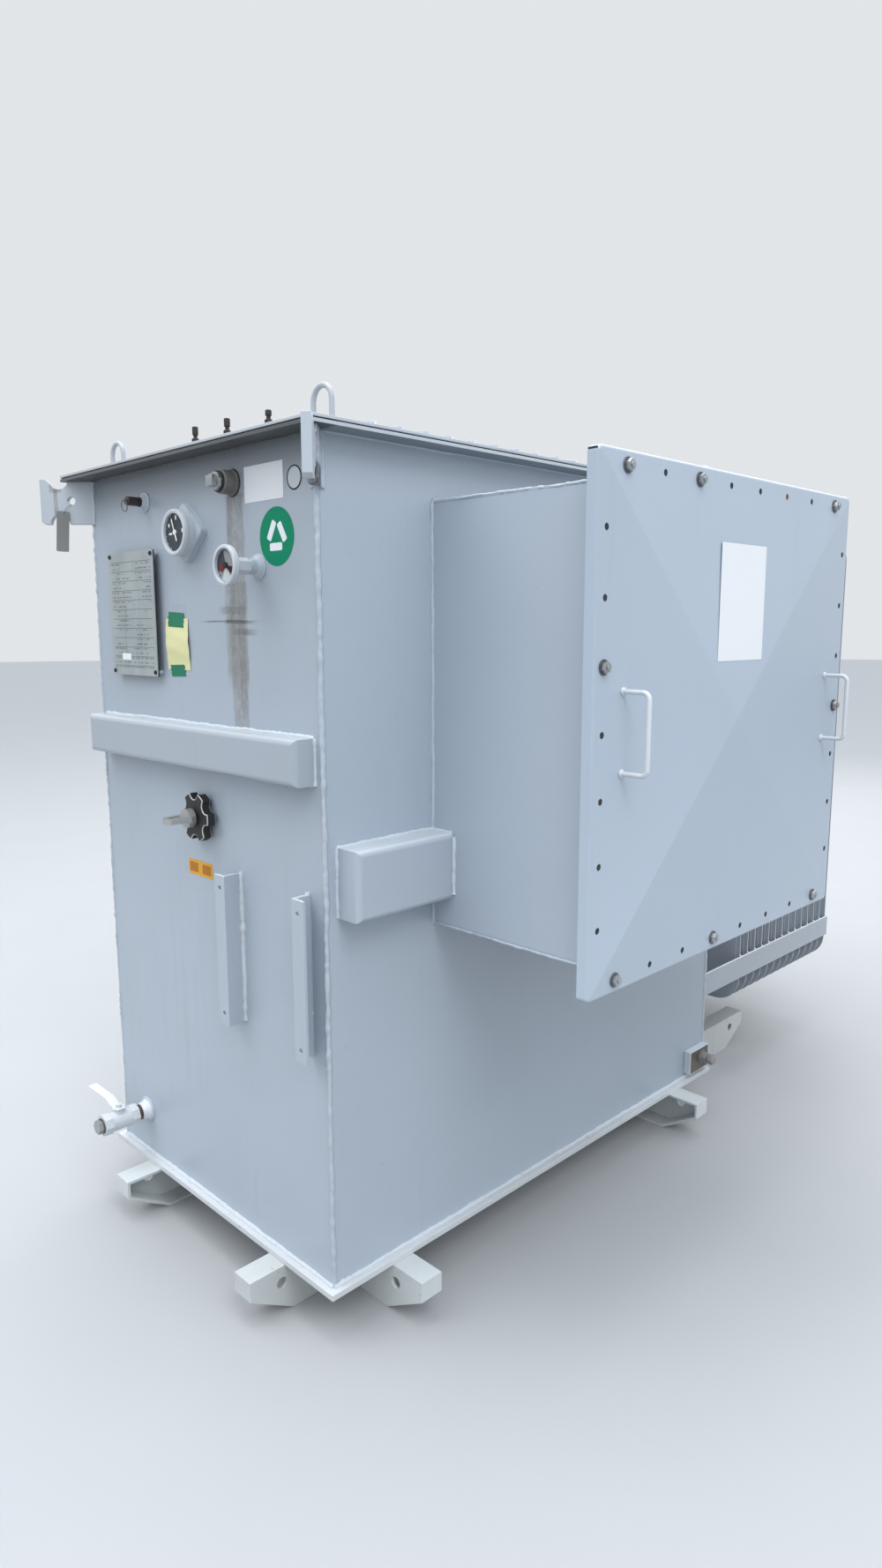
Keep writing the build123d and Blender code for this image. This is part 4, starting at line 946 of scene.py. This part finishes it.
tempGauge = {**frontSpot("temperature_gauge"), "wellWide": 0.020, "wellNarrow": 0.0135, "hexStart": 0.022,
    "hexEnd": 0.046, "hex": 0.025, "stem": 0.010, "rim": 0.0335, "rimThick": 0.011, "face": 0.0270, "sunk": 0.0065}
g = tempGauge
lathePiece("temperature_well_boss", onFitting(), [(0, 0), (g["wellWide"], 0), (g["wellWide"] - 0.0005, 0.003),
    (g["wellNarrow"] + 0.0028, 0.0075), (g["wellNarrow"] + 0.0004, 0.0105), (g["wellNarrow"], g["hexStart"] - 0.0035),
    (g["wellNarrow"] - 0.002, g["hexStart"] - 0.0025), (g["wellNarrow"] - 0.002, g["hexStart"]), (0, g["hexStart"])],
    paint["trim"], 36, replaced=["temperature_well"])
bm = bmesh.new()
hexPrism(bm, onFitting(g["hexStart"]), g["hex"] - 0.0002, g["hexEnd"] - g["hexStart"], 0.0015)
front, back = g["front"] - g["hexEnd"], g["front"] - g["hexEnd"] - g["rimThick"]
lathe(bm, onFitting(g["hexEnd"]), [(0, 0), (g["stem"], 0), (g["stem"], back * 0.7), (g["stem"] + 0.004, back),
    (g["rim"] - 0.002, back), (g["rim"], back + 0.002), (g["rim"], front - 0.002), (g["rim"] - 0.001, front - 0.0005),
    (g["rim"] - 0.0025, front), (g["face"] + 0.001, front), (g["face"], front - 0.001),
    (g["face"], front - g["sunk"]), (0, front - g["sunk"])], 60)
finishPiece(bm, "temperature_gauge_case", metal["steelRim"], slot="gauge_case", replaced=["temperature_gauge"])
faceAt = onFitting(g["front"] - g["sunk"])
lathePiece("temperature_dial", faceAt, discProfile(g["face"] - 0.0003, 0.0005, 0.0001), dial["grey"], 52,
    slot="gauge_case")


def dialSector(bm, place, outer, startDeg, endDeg, thick=0.0003, steps=14):
    ring = [(radians(startDeg + (endDeg - startDeg) * i / steps), outer) for i in range(steps + 1)] + [(0, 0)]
    face = bm.faces.new([bm.verts.new(place @ Vector((-sin(t) * r, cos(t) * r, 0))) for t, r in ring])
    raiseFace(bm, face, place, thick)


for shade, startDeg, endDeg in (("dark", 20, 112), ("pale", 150, 215)):
    bm = bmesh.new()
    dialSector(bm, faceAt @ lift(0.0006), 0.0258, startDeg, endDeg)
    finishPiece(bm, "temperature_%s_zone" % shade, dial[shade], slot="gauge_case")
bm = bmesh.new()
for index in range(21):
    tick = faceAt @ turnBy(-130 + index * 13) @ shift(0, 0.0240, 0.0010)
    block(bm, tick, (0.0008, 0.0042 if index % 4 == 0 else 0.0024, 0.0003))
dialSector(bm, faceAt @ lift(0.0013), 0.0215, 232, 262)
lathe(bm, faceAt @ lift(0.0010), discProfile(0.0050, 0.0026), 24)
finishPiece(bm, "temperature_marks", dial["black"], slot="gauge_case")
bm = bmesh.new()
dialSector(bm, faceAt @ lift(0.0020), 0.0175, 78, 128)
block(bm, faceAt @ turnBy(-128) @ shift(0, 0.008, 0.0030), (0.0022, 0.028, 0.0005), 0.0002)
finishPiece(bm, "temperature_hands", dial["red"], slot="gauge_case")
weldPiece("well_weld", [], 0.0026, [(onFitting(0.001), g["wellWide"])])
print("gauges made")

# relief valve with its pull ring, and the fill plug

relief = {**frontSpot("relief_valve"), "boss": 0.017, "bossOut": 0.011, "barrel": 0.0085, "ring": 0.0108,
    "wire": 0.0009}
g = relief
lathePiece("relief_boss", onFitting(), [(0, 0), (g["boss"], 0), (g["boss"] - 0.001, 0.003),
    (g["barrel"] + 0.003, 0.008), (g["barrel"] + 0.002, g["bossOut"]), (0, g["bossOut"])], paint["trim"], 32)
lathePiece("relief_barrel", onFitting(g["bossOut"]), [(0, 0), (g["barrel"] + 0.001, 0), (g["barrel"] + 0.001, 0.0025),
    (g["barrel"] - 0.0010, 0.003), (g["barrel"] - 0.0010, 0.005), (g["barrel"], 0.006), (g["barrel"], 0.0265),
    (g["barrel"] - 0.001, 0.028), (0.0045, 0.0285), (0.0032, 0.030), (0.0032, 0.0315), (0.002, 0.033), (0, 0.033)],
    metal["redBrown"], 32, slot="valve_bronze", replaced=["relief_valve"])
bm = bmesh.new()
loopPlace = onFront(g["across"] - 0.002, g["up"] - g["ring"] + 0.0015, g["front"] - 0.0018) @ turnBy(7, "X")
tubeRuns(bm, [[(loopPlace @ Vector((g["ring"] * cos(t * pi / 18), g["ring"] * sin(t * pi / 18), 0)), 1.0)
    for t in range(36)]], g["wire"], closed=True)
finishPiece(bm, "relief_pull_ring", metal["washer"], slot="zinc_steel", smoothAngle=60)

fill = {**frontSpot("fill_coupling", "fill_plug"), "boss": 0.020, "bossOut": 0.027, "collar": 0.0175, "seal": 0.0045,
    "hex": 0.030, "hexThick": 0.0055, "square": 0.020, "shadowRing": 0.0235}
g = fill
lathePiece("fill_coupling_body", onFitting(), [(0, 0), (g["boss"] + 0.0018, 0), (g["boss"] + 0.0018, 0.0045),
    (g["boss"], 0.0055), (g["boss"], g["bossOut"] - 0.002), (g["boss"] - 0.0018, g["bossOut"]), (0, g["bossOut"])],
    metal["rustBrown"], 40, replaced=["fill_coupling"])
# painted shadow: a dark ring on the wall round the coupling's foot
lathePiece("fill_foot_shadow_ring", onFitting(), [(g["boss"], 0.0001), (g["shadowRing"], 0.0001),
    (g["shadowRing"] - 0.0004, 0.0012), (g["boss"], 0.0012), (g["boss"], 0.0001)], metal["rubber"], 40)
bm = bmesh.new()
seatOut = g["bossOut"] + g["seal"] - 0.0002
lathe(bm, onFitting(g["bossOut"]), [(0, 0), (g["collar"], 0), (g["collar"], 0.0018), (g["collar"] - 0.0012, 0.0022),
    (g["collar"] - 0.0012, 0.0028), (g["collar"] - 0.0003, 0.0031), (g["collar"] - 0.0003, g["seal"] - 0.0003),
    (0, g["seal"] - 0.0003)], 36)
finishPiece(bm, "fill_seal", metal["rubber"], slot="gasket_rubber")
bm = bmesh.new()
hexPrism(bm, onFitting(seatOut), g["hex"], g["hexThick"], 0.0012, sides=8, turn=radians(11))
squareLong = g["front"] - seatOut - g["hexThick"] + 0.0010
block(bm, onFitting(g["front"] - squareLong / 2) @ turnBy(4),
    (g["square"] - 0.0014, g["square"] - 0.0014, squareLong), 0.0014, 3)
finishPiece(bm, "fill_plug_head", metal["zinc"], slot="zinc_steel", replaced=["fill_plug"])
weldPiece("coupling_welds", [], 0.0022, [(onFront(relief["across"], relief["up"], 0.001), relief["boss"])])

# cover bushings

bushings = {"spots": (0.222, 0.337, 0.473), "studRise": (0.0, -0.0007, -0.0060), "back": 0.118, "height": 0.046,
    "foot": 0.027, "skirt": 0.021, "neck": 0.0095, "stud": 0.0062, "studTall": 0.036}
bodyBm, studBm = bmesh.new(), bmesh.new()
g = bushings
for across, rise in zip(g["spots"], g["studRise"]):
    spot = onTop(leftX + across, frontY + g["back"])
    studTall = g["studTall"] + rise
    lathe(bodyBm, spot, [(0, 0), (g["foot"], 0), (g["foot"], 0.007), (g["foot"] - 0.002, 0.0092), (0.017, 0.0096),
        (0.0165, 0.013), (g["skirt"], 0.0150), (g["skirt"] - 0.0015, 0.0175), (0.0145, 0.0200), (0.0142, 0.0245),
        (0.0185, 0.0262), (0.017, 0.0285), (0.0122, 0.0310), (0.0112, 0.0400), (g["neck"], 0.0450),
        (g["neck"] - 0.001, g["height"]), (0, g["height"])], 32)
    top = spot @ lift(g["height"])
    lathe(studBm, top, [(0, 0), (g["stud"] + 0.0010, 0), (g["stud"] + 0.0012, 0.012), (g["stud"], 0.0135),
        (0.0040, 0.015), (0.0040, 0.0195), (0.0058, 0.0205), (0.0060, studTall - 0.002), (0.0052, studTall),
        (0, studTall)], 20)
finishPiece(bodyBm, "bushing_bodies", metal["resin"], slot="dark_bushing", replaced=["cover_bushings"])
finishPiece(studBm, "bushing_terminals", metal["studBrown"], slot="zinc_steel", replaced=["bushing_studs"])
print("small fittings made")

# drain valve: coupling, ported body, bonnet, stem nut and lever

drain = {"across": 0.107, "up": 0.098, "boss": 0.0250, "bossOut": 0.0199, "thread": 0.0166, "threadOut": 0.0196,
    "threadPitch": 0.0009, "threadDeep": 0.0006, "threads": 12}
g = drain
for nodeName, finish, body, width in (("drain_valve", paint["valve"], "unit", 0.0016),
        ("drain_plug", metal["zinc"], "unit", 0.0014), ("drain_lever", paint["white"], "valve_lever", 0.0008)):
    softenNode(nodeName, finish, width, body=body, slot="zinc_steel" if body == "valve_lever" else "valve_bronze")
lathePiece("drain_boss", onFitting(), [(0, 0), (g["boss"], 0), (0.0247, 0.0025), (0.0215, 0.0075), (0.0195, 0.0125),
    (0.0190, 0.0185), (0.0182, g["bossOut"]), (0, g["bossOut"])], paint["white"], 40, slot="valve_bronze",
    replaced=["drain_coupling"])
bm = bmesh.new()
threads = [(0, g["threadOut"])] + [(g["thread"] - g["threadDeep"] * (step % 2),
    g["threadOut"] + g["threadPitch"] * step) for step in range(g["threads"])]
lathe(bm, onFitting(), threads + [(0, threads[-1][1])], 32)
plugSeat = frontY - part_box("drain_plug")[1].y
lathe(bm, onFitting(plugSeat - 0.0006), [(0, 0), (g["thread"], 0), (g["thread"], 0.0026), (0.0158, 0.0032),
    (0, 0.0032)], 32)
finishPiece(bm, "drain_threads", metal["threadBrown"], slot="valve_bronze")
weldPiece("drain_weld", [], 0.0034, [(onFitting(0.001), g["boss"])])

# tap changer

tap = {"slotWide": 0.0068, "slotLong": 0.0255, "slotFromTip": 0.0045, "bladeThick": 0.011, "sunk": 0.0003}
softenNode("tap_changer", metal["darkCast"], 0.0016, slot="index_disc", edgeMaterial=metal["wornEdge"])
softenNode("tap_handle", metal["alloy"], 0.0014, body="tap_lever", slot="handle_alloy",
    edgeMaterial=metal["wornEdge"])
tapLow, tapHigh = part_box("tap_handle")
slotMiddle = Vector(((tapLow.x + tapHigh.x) / 2, tapLow.y + tap["slotFromTip"] + tap["slotLong"] / 2,
    (tapLow.z + tapHigh.z) / 2))
# painted shade: a dark block inside the handle's slot
bm = bmesh.new()
block(bm, Matrix.Translation(slotMiddle), (tap["slotWide"], tap["slotLong"], tap["bladeThick"] - 2 * tap["sunk"]),
    0.0004)
finishPiece(bm, "tap_handle_slot_shade", metal["darkCast"], body="tap_lever", slot="handle_alloy")

# ground pad and its clamped bolt

pad = {"back": 1.2095, "up": 0.046, "washer": 0.0165, "flats": 0.022, "faceInset": 0.0025}
softenNode("ground_pad", paint["brightWeld"], 0.0014, slot="pad_bronze")
padLow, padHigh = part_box("ground_pad")
padFace = padHigh.x - rightX
padMiddle = (padHigh.x - 0.0002, (padLow.y + padHigh.y) / 2, (padLow.z + padHigh.z) / 2)
sheetPiece("ground_pad_face", placeAt(padMiddle, (0, 1, 0), (1, 0, 0)), padHigh.y - padLow.y - 2 * pad["faceInset"],
    padHigh.z - padLow.z - 2 * pad["faceInset"], metal["bronze"], 0.0006, 0.002, slot="pad_bronze")
bm = bmesh.new()
spot = onRight(pad["back"], pad["up"], padFace)
for out, radius, thick in ((0.0005, pad["washer"], 0.003), (0.0036, pad["washer"] - 0.003, 0.0035)):
    lathe(bm, spot @ lift(out), discProfile(radius, thick), 28)
hexPrism(bm, spot @ lift(0.0072), pad["flats"] + 0.002, 0.0105, 0.0015, turn=radians(12))
lathe(bm, spot @ lift(0.0176), discProfile(0.0078, 0.0072), 20)
hexPrism(bm, spot @ lift(0.0225), pad["flats"] + 0.001, 0.0125, 0.0015, turn=radians(31))
finishPiece(bm, "ground_bolt", metal["wornEdge"], slot="zinc_steel")

# plates, labels and notes, all left without words

plain = {
    "white": paintFlat("labelWhite", (0.70, 0.72, 0.75), 0.38, 0.08, 0.2),
    "panWhite": paintFlat("panelLabelWhite", (0.80, 0.82, 0.85), 0.32, 0.05, 0.3),
    "disc": paintFlat("labelDisc", (0.47, 0.51, 0.55), 0.4, 0.1),
    "green": paintFlat("discGreen", (0.0, 0.225, 0.115), 0.45, 0.06, 0.0, shine=0.15),
    "note": paintFlat("noteYellow", (0.70, 0.685, 0.38), 0.75, 0.12),
    "tape": paintFlat("tapeGreen", (0.025, 0.19, 0.105), 0.55, 0.35, 0.0, shine=0.2),
    "amber": paintFlat("labelAmber", (0.72, 0.34, 0.01), 0.4, 0.15, 0.2),
    "amberDark": paintFlat("labelAmberDark", (0.42, 0.17, 0.01), 0.45, 0.2),
    "tag": paintFlat("tagGrey", (0.27, 0.275, 0.27), 0.55, 0.7, 0.0),
}


def flatDisc(name, place, radius, material, thick=0.0004, hole=0.0, sides=56):
    bm = bmesh.new()
    profile = [(hole, 0), (radius, 0), (radius, thick), (hole, thick)]
    lathe(bm, place, profile + ([profile[0]] if hole else []), sides)
    return finishPiece(bm, name, material)


labels = {"gap": 0.0001, "wide": (0.620, 1.391), "disc": (0.705, 1.390), "green": (0.6535, 1.302),
    "amber": (0.373, 0.694), "amberFields": (-0.024, 0.022)}
sheetPiece("wide_label", onFront(*labels["wide"], labels["gap"]), 0.110, 0.059, plain["white"], corner=0.001)
flatDisc("small_disc", onFront(*labels["disc"], labels["gap"]), 0.0190, plain["disc"])
flatDisc("small_disc_ring", onFront(*labels["disc"], 2 * labels["gap"]), 0.0192, dial["black"], 0.0006, hole=0.0170)
flatDisc("green_disc", onFront(*labels["green"], labels["gap"]), 0.0475, plain["green"])
bm = bmesh.new()
for index in range(3):
    bar = onFront(*labels["green"], 5 * labels["gap"]) @ turnBy(180 + 120 * index) @ shift(0.002, 0.0165, 0.0)
    sheetPlate(bm, bar, 0.0340, 0.0125, 0.0003, 0.0030)
finishPiece(bm, "green_disc_bars", plain["panWhite"])
sheetPiece("amber_label", onFront(*labels["amber"], labels["gap"]), 0.086, 0.030, plain["amber"], corner=0.003)
bm = bmesh.new()
for across in labels["amberFields"]:
    sheetPlate(bm, onFront(*labels["amber"], 5 * labels["gap"]) @ shift(across, 0, 0), 0.030, 0.019, 0.0002, 0.002)
finishPiece(bm, "amber_label_fields", plain["amberDark"])
sheetPiece("throat_cover_label", onPan(-0.0012, 0.2022, 0.0031), 0.156, 0.200, plain["panWhite"], corner=0.002)

# the paper note: a thin sheet that bulges between its two tapes
note = {"across": 0.3265, "up": 1.1236, "width": 0.081, "height": 0.096, "bulge": 0.0045, "steps": 14}
bm = bmesh.new()
bmesh.ops.create_grid(bm, x_segments=8, y_segments=note["steps"], size=0.5,
    matrix=Matrix.Diagonal((note["width"], note["height"], 1, 1)))
for vert in bm.verts:
    along = vert.co.y / note["height"] + 0.5
    belly = note["bulge"] * sin(pi * along) ** 2 * (0.55 + 0.45 * cos(vert.co.x / note["width"] * 2.4))
    vert.co.z = 0.0010 + belly + 0.0006 * sin(along * 21 + vert.co.x * 60) * sin(pi * along)
    vert.co.x += 0.0016 * sin(along * 5.0)
bmesh.ops.transform(bm, matrix=onFront(note["across"], note["up"]), verts=bm.verts)
bmesh.ops.solidify(bm, geom=bm.faces[:], thickness=0.0003)
finishPiece(bm, "paper_note", plain["note"], smoothAngle=60)


def tapeStrip(name, across, up, width, height, lowOut, topOut, turn):
    # tape that follows the note, ragged where it was torn
    bm = bmesh.new()
    bmesh.ops.create_grid(bm, x_segments=16, y_segments=8, size=0.5)
    place = onFront(across, up) @ turnBy(turn)
    for vert in bm.verts:
        along, rise = vert.co.x, vert.co.y + 0.5
        torn = 0.0016 * sin(rise * 17 + across * 40) if abs(along) > 0.49 else 0.0
        out = lowOut + (topOut - lowOut) * rise + 0.0002 * sin(along * 19 + rise * 7)
        vert.co = place @ Vector((along * width + torn, (rise - 0.5) * height, out))
    bmesh.ops.solidify(bm, geom=bm.faces[:], thickness=0.00025)
    return finishPiece(bm, name, plain["tape"], smoothAngle=60)


tapeStrip("tape_upper", 0.323, 1.1700, 0.056, 0.027, 0.0026, 0.0006, -3)
tapeStrip("tape_lower", 0.323, 1.0740, 0.051, 0.022, 0.0006, 0.0019, 2)

# nameplate: ruled sheet on studs


def buildRuledPlate(name, lowCorner, width, height):
    material, tree, shader, place = startMaterial(name, metallic=0.55)
    local = scaledPlace(tree, place, (1, 1, 1), (-lowCorner[0], 0, -lowCorner[1]))
    split = axesOf(tree, local)
    across, up = split[0], split[2]

    def lineMask(value, pitch, share):
        turned = mathNode(tree, "FRACT", mathNode(tree, "DIVIDE", value, pitch))
        return mathNode(tree, "LESS_THAN", turned, share)

    def between(value, low, high):
        return times(tree, mathNode(tree, "GREATER_THAN", value, low), mathNode(tree, "LESS_THAN", value, high))

    inside = times(tree, between(across, 0.010, width - 0.010), between(up, 0.014, height - 0.018))
    rules = lineMask(up, 0.0185, 0.06)
    stiles = times(tree, lineMask(across, width / 3.02, 0.014), between(up, 0.045, height * 0.72))
    dashes = noiseNode(tree, scaledPlace(tree, local, (150, 1, 60)), 1.0, 2)
    rows = lineMask(plus(tree, up, 0.0035), 0.0092, 0.30)
    blots = times(tree, mathNode(tree, "GREATER_THAN", dashes, 0.49), rows)
    patches = noiseNode(tree, scaledPlace(tree, local, (14, 1, 22)), 1.0, 1)
    blots = times(tree, blots, mathNode(tree, "GREATER_THAN", patches, 0.47))
    marks = mathNode(tree, "MAXIMUM", mathNode(tree, "MAXIMUM", rules, stiles), times(tree, blots, 0.75))
    marks = times(tree, marks, inside)
    cloud = rampNode(tree, noiseNode(tree, scaledPlace(tree, place, (18, 18, 10)), 1.0, 5), 0.3, 0.7)
    ground = mixColour(tree, cloud, (0.43, 0.475, 0.480, 1), (0.36, 0.40, 0.41, 1))
    colour = mixColour(tree, times(tree, marks, 0.85), ground, (0.10, 0.10, 0.095, 1))
    tree.links.new(colour, shader.inputs["Base Color"])
    tree.links.new(plus(tree, 0.38, times(tree, cloud, 0.15)), shader.inputs["Roughness"])
    bumpInto(tree, shader, minus(tree, 1.0, marks), 0.25, 0.0003)
    return material


plateLow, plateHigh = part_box("nameplate")
plateX, plateZ = (plateLow.x + plateHigh.x) / 2, (plateLow.z + plateHigh.z) / 2
plateWide, plateTall = plateHigh.x - plateLow.x, plateHigh.z - plateLow.z
ruled = buildRuledPlate("ruledPlate", (plateLow.x, plateLow.z), plateWide, plateTall)
sheetPiece("nameplate_sheet", facingFront(plateX, plateHigh.y, plateZ), plateWide, plateTall, ruled,
    plateHigh.y - plateLow.y, 0.004, slot="plate_metal", replaced=["nameplate"])
softenNode("nameplate_studs", paint["trim"], 0.0006)
backing = {"aside": 0.0006, "behind": 0.0022, "thick": 0.0020}
sheetPiece("nameplate_backing", facingFront(plateX + backing["aside"], plateHigh.y + backing["behind"],
    plateZ - backing["aside"]), plateWide - backing["aside"], plateTall - backing["aside"], metal["rubber"],
    backing["thick"], 0.004, slot="plate_metal")
bm = bmesh.new()
screwInset, screwHead = 0.008, [(0, 0), (0.0042, 0), (0.0042, 0.0012), (0.0032, 0.0026), (0.0012, 0.0031),
    (0, 0.0031)]
for x in (plateLow.x + screwInset, plateHigh.x - screwInset):
    for z in (plateLow.z + screwInset, plateHigh.z - screwInset):
        lathe(bm, facingFront(x, plateLow.y, z), screwHead, 20)
finishPiece(bm, "nameplate_screws", dial["black"], slot="plate_metal")
sheetPiece("nameplate_sticker", facingFront(plateLow.x + 0.060, plateLow.y - 0.0001, plateLow.z + 0.037), 0.036,
    0.013, plain["panWhite"], 0.0003, 0.001, slot="plate_metal")

# hang tag on a wire through the front left lug
tag = {"along": 0.0565, "front": 0.0115, "top": -0.060, "width": 0.026, "height": 0.082, "thick": 0.0012,
    "lean": -4.0, "eyeDown": 0.005, "wire": 0.0007, "clear": 0.0092}
lugHole = {"along": 0.040, "down": -0.039}
outward = Vector((-1, -1, 0)).normalized()
facing = Vector((1, -1, 0)).normalized()
lugCorner = Vector((leftX, frontY, rimZ))
tagTop = lugCorner + outward * tag["along"] + facing * tag["front"] + Vector((0, 0, tag["top"]))
tagPlace = placeAt(tagTop, -outward, facing) @ turnBy(tag["lean"]) @ shift(0, -tag["height"] / 2, 0)
sheetPiece("hang_tag", tagPlace, tag["width"], tag["height"], plain["tag"], tag["thick"], 0.003)
bm = bmesh.new()
holeAt = lugCorner + outward * lugHole["along"] + Vector((0, 0, lugHole["down"]))
eye = tagPlace @ Vector((0, tag["height"] / 2 - tag["eyeDown"], tag["thick"] + tag["wire"]))
inFront = holeAt + facing * tag["clear"]
wire = [eye + facing * 0.0004, eye.lerp(inFront, 0.45) + facing * 0.001, inFront + Vector((0, 0, -0.0072)),
    holeAt + Vector((0, 0, -0.0072)), holeAt - facing * 0.0088 + Vector((0, 0, -0.0068))]
tubeRuns(bm, [[(point, 1.0) for point in wire]], tag["wire"])
finishPiece(bm, "hang_tag_wire", metal["zinc"], slot="zinc_steel", smoothAngle=60)
print("plates and labels made")

# rail, lug and radiator strap welds
railLow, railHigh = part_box("angle_rails")
rails = {"meet": (leftX + 0.513, leftX + 0.7165), "proud": 0.0012, "rise": 0.004}
shortWelds = []
for x, side in zip(rails["meet"], (1, -1)):
    spotX, spotY = x + side * rails["proud"], frontY - rails["proud"]
    shortWelds.append(((spotX, spotY, railLow.z + rails["rise"]), (spotX, spotY, railHigh.z + rails["rise"])))
weldPiece("rail_welds", shortWelds, 0.0050, material="brightWeld")
railTops = []
for x, way in zip(rails["meet"], (-1, 1)):
    z = railHigh.z + 0.0004
    corner = (x + way * 0.0020, railLow.y + 0.0020, z)
    railTops += [((x + way * 0.031, railLow.y + 0.0020, z), corner), (corner, (x + way * 0.0020, frontY - 0.003, z))]
weldPiece("rail_top_welds", railTops, 0.0018, material="brightWeld")
lugSide = 0.0112
lugLines = []
for x, wayX in ((leftX, -1), (rightX, 1)):
    for y, wayY in ((frontY, -1), (rearY, 1)):
        for offX, offY in ((lugSide, 0.0), (0.0, lugSide)):
            spotX, spotY = x - wayX * offX, y - wayY * offY
            lugLines.append(((spotX, spotY, rimZ - 0.086), (spotX, spotY, rimZ - 0.002)))
weldPiece("lug_welds", lugLines, 0.0042)
strapLow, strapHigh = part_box("radiator_straps")
tacks = []
for index in range(finCorner["count"]):
    y = rearY + finCorner["first"] + index * finCorner["pitch"]
    for x, way in ((strapLow.x, 1), (strapHigh.x, -1)):
        tacks.append(((x + way * 0.0030, y, strapHigh.z - 0.001), (x + way * 0.0075, y, strapHigh.z + 0.003)))
weldPiece("strap_tacks", tacks, 0.0030, material="brightWeld")
print("short welds laid")

# studio: floor, world, lamps and the photograph's camera

studio = {"floor": (0.40, 0.408, 0.416), "floorBounce": (0.27, 0.27, 0.265), "sky": (0.88, 0.935, 1.0),
    "horizon": 0.80, "zenith": 1.85, "backdrop": (0.76, 0.785, 0.81), "reach": 40, "sunk": 0.0005}


def seenDirectly(tree):
    # 1 where the camera sees the surface, straight, mirrored or through glass
    path = tree.nodes.new("ShaderNodeLightPath").outputs
    seen = mathNode(tree, "MAXIMUM", path["Is Camera Ray"], path["Is Transmission Ray"])
    return mathNode(tree, "MAXIMUM", seen, path["Is Glossy Ray"])


def scaledColour(colour, share):
    return (*[channel * share for channel in colour], 1)


bm = bmesh.new()
bmesh.ops.create_circle(bm, cap_ends=True, segments=96, radius=studio["reach"], matrix=lift(-studio["sunk"]))
mesh = bpy.data.meshes.new("floor")
bm.to_mesh(mesh)
bm.free()
floor = placeObject("floor", mesh)
material, tree, shader, place = startMaterial("floorPale")
grain = noiseNode(tree, place, 3.0, 5)
seenFloor = mixColour(tree, grain, scaledColour(studio["floor"], 0.97), scaledColour(studio["floor"], 1.03))
seen = seenDirectly(tree)
tree.links.new(mixColour(tree, seen, (*studio["floorBounce"], 1), seenFloor), shader.inputs["Base Color"])
shader.inputs["Roughness"].default_value = 0.85
mesh.materials.append(material)

world = bpy.data.worlds.new("paleSky")
bpy.context.scene.world = world
world.use_nodes = True
tree = world.node_tree
for node in list(tree.nodes):
    tree.nodes.remove(node)
seen = seenDirectly(tree)
rise = axesOf(tree, tree.nodes.new("ShaderNodeTexCoord").outputs["Generated"])[2]
glow = times(tree, mathNode(tree, "MAXIMUM", rise, 0.0), studio["zenith"] - studio["horizon"])
glow = plus(tree, glow, studio["horizon"])
lit = addNode(tree, "ShaderNodeBackground", {"Color": (*studio["sky"], 1), "Strength": glow})
shown = addNode(tree, "ShaderNodeBackground", {"Color": (*studio["backdrop"], 1), "Strength": 1.0})
mix = addNode(tree, "ShaderNodeMixShader", {0: seen, 1: lit.outputs[0], 2: shown.outputs[0]})
out = tree.nodes.new("ShaderNodeOutputWorld")
tree.links.new(mix.outputs[0], out.inputs[0])

lamps = {
    "frontLeftLamp": {"at": (-2.2, -4.6, 6.2), "aim": (-0.2, -0.6, 0.6), "size": 3.6, "power": 112,
        "colour": (0.97, 0.98, 1.0)},
    "rightLamp": {"at": (4.6, -2.2, 6.2), "aim": (0.3, -0.2, 0.6), "size": 3.6, "power": 158,
        "colour": (0.93, 0.96, 1.0)},
    "topLamp": {"at": (-0.3, -0.5, 8.0), "aim": (-0.2, -0.3, 0.8), "size": 5.0, "power": 270,
        "colour": (1.0, 1.0, 1.0)},
    "rearLamp": {"at": (-2.4, 5.4, 4.0), "aim": (-0.2, 0.6, 0.8), "size": 3.6, "power": 95,
        "colour": (1.0, 0.99, 0.97)},
}
for name, lamp in lamps.items():
    light = bpy.data.lights.new(name, "AREA")
    light.shape = "DISK"
    light.size = lamp["size"]
    light.energy = lamp["power"]
    light.color = lamp["colour"]
    holder = placeObject(name, light)
    holder.location = lamp["at"]
    holder.rotation_euler = (Vector(lamp["aim"]) - Vector(lamp["at"])).to_track_quat("-Z", "Y").to_euler()

# solved from the photograph: place, turn, tilt, roll and lens
eyePoint = {"at": (1.45065, -1.89570, 1.25931), "turn": 45.17, "tilt": -9.09, "roll": -0.14, "lens": 39.68,
    "sensor": 36, "far": 200}
turn, tilt, roll = (radians(eyePoint[key]) for key in ("turn", "tilt", "roll"))
ahead = Vector((-sin(turn) * cos(tilt), cos(turn) * cos(tilt), sin(tilt)))
right = ahead.cross(Vector((0, 0, 1))).normalized()
upward = right.cross(ahead)
rightRolled = right * cos(roll) + upward * sin(roll)
upRolled = upward * cos(roll) - right * sin(roll)
cameraData = bpy.data.cameras.new("photoCamera")
cameraData.sensor_fit = "HORIZONTAL"
cameraData.sensor_width = eyePoint["sensor"]
cameraData.lens = eyePoint["lens"]
cameraData.clip_end = eyePoint["far"]
camera = placeObject("photoCamera", cameraData)
seat = Matrix((rightRolled, upRolled, -ahead)).transposed().to_4x4()
seat.translation = Vector(eyePoint["at"])
camera.matrix_world = seat
bpy.context.scene.camera = camera
bpy.context.scene.view_settings.view_transform = "Standard"
print("studio and camera set")
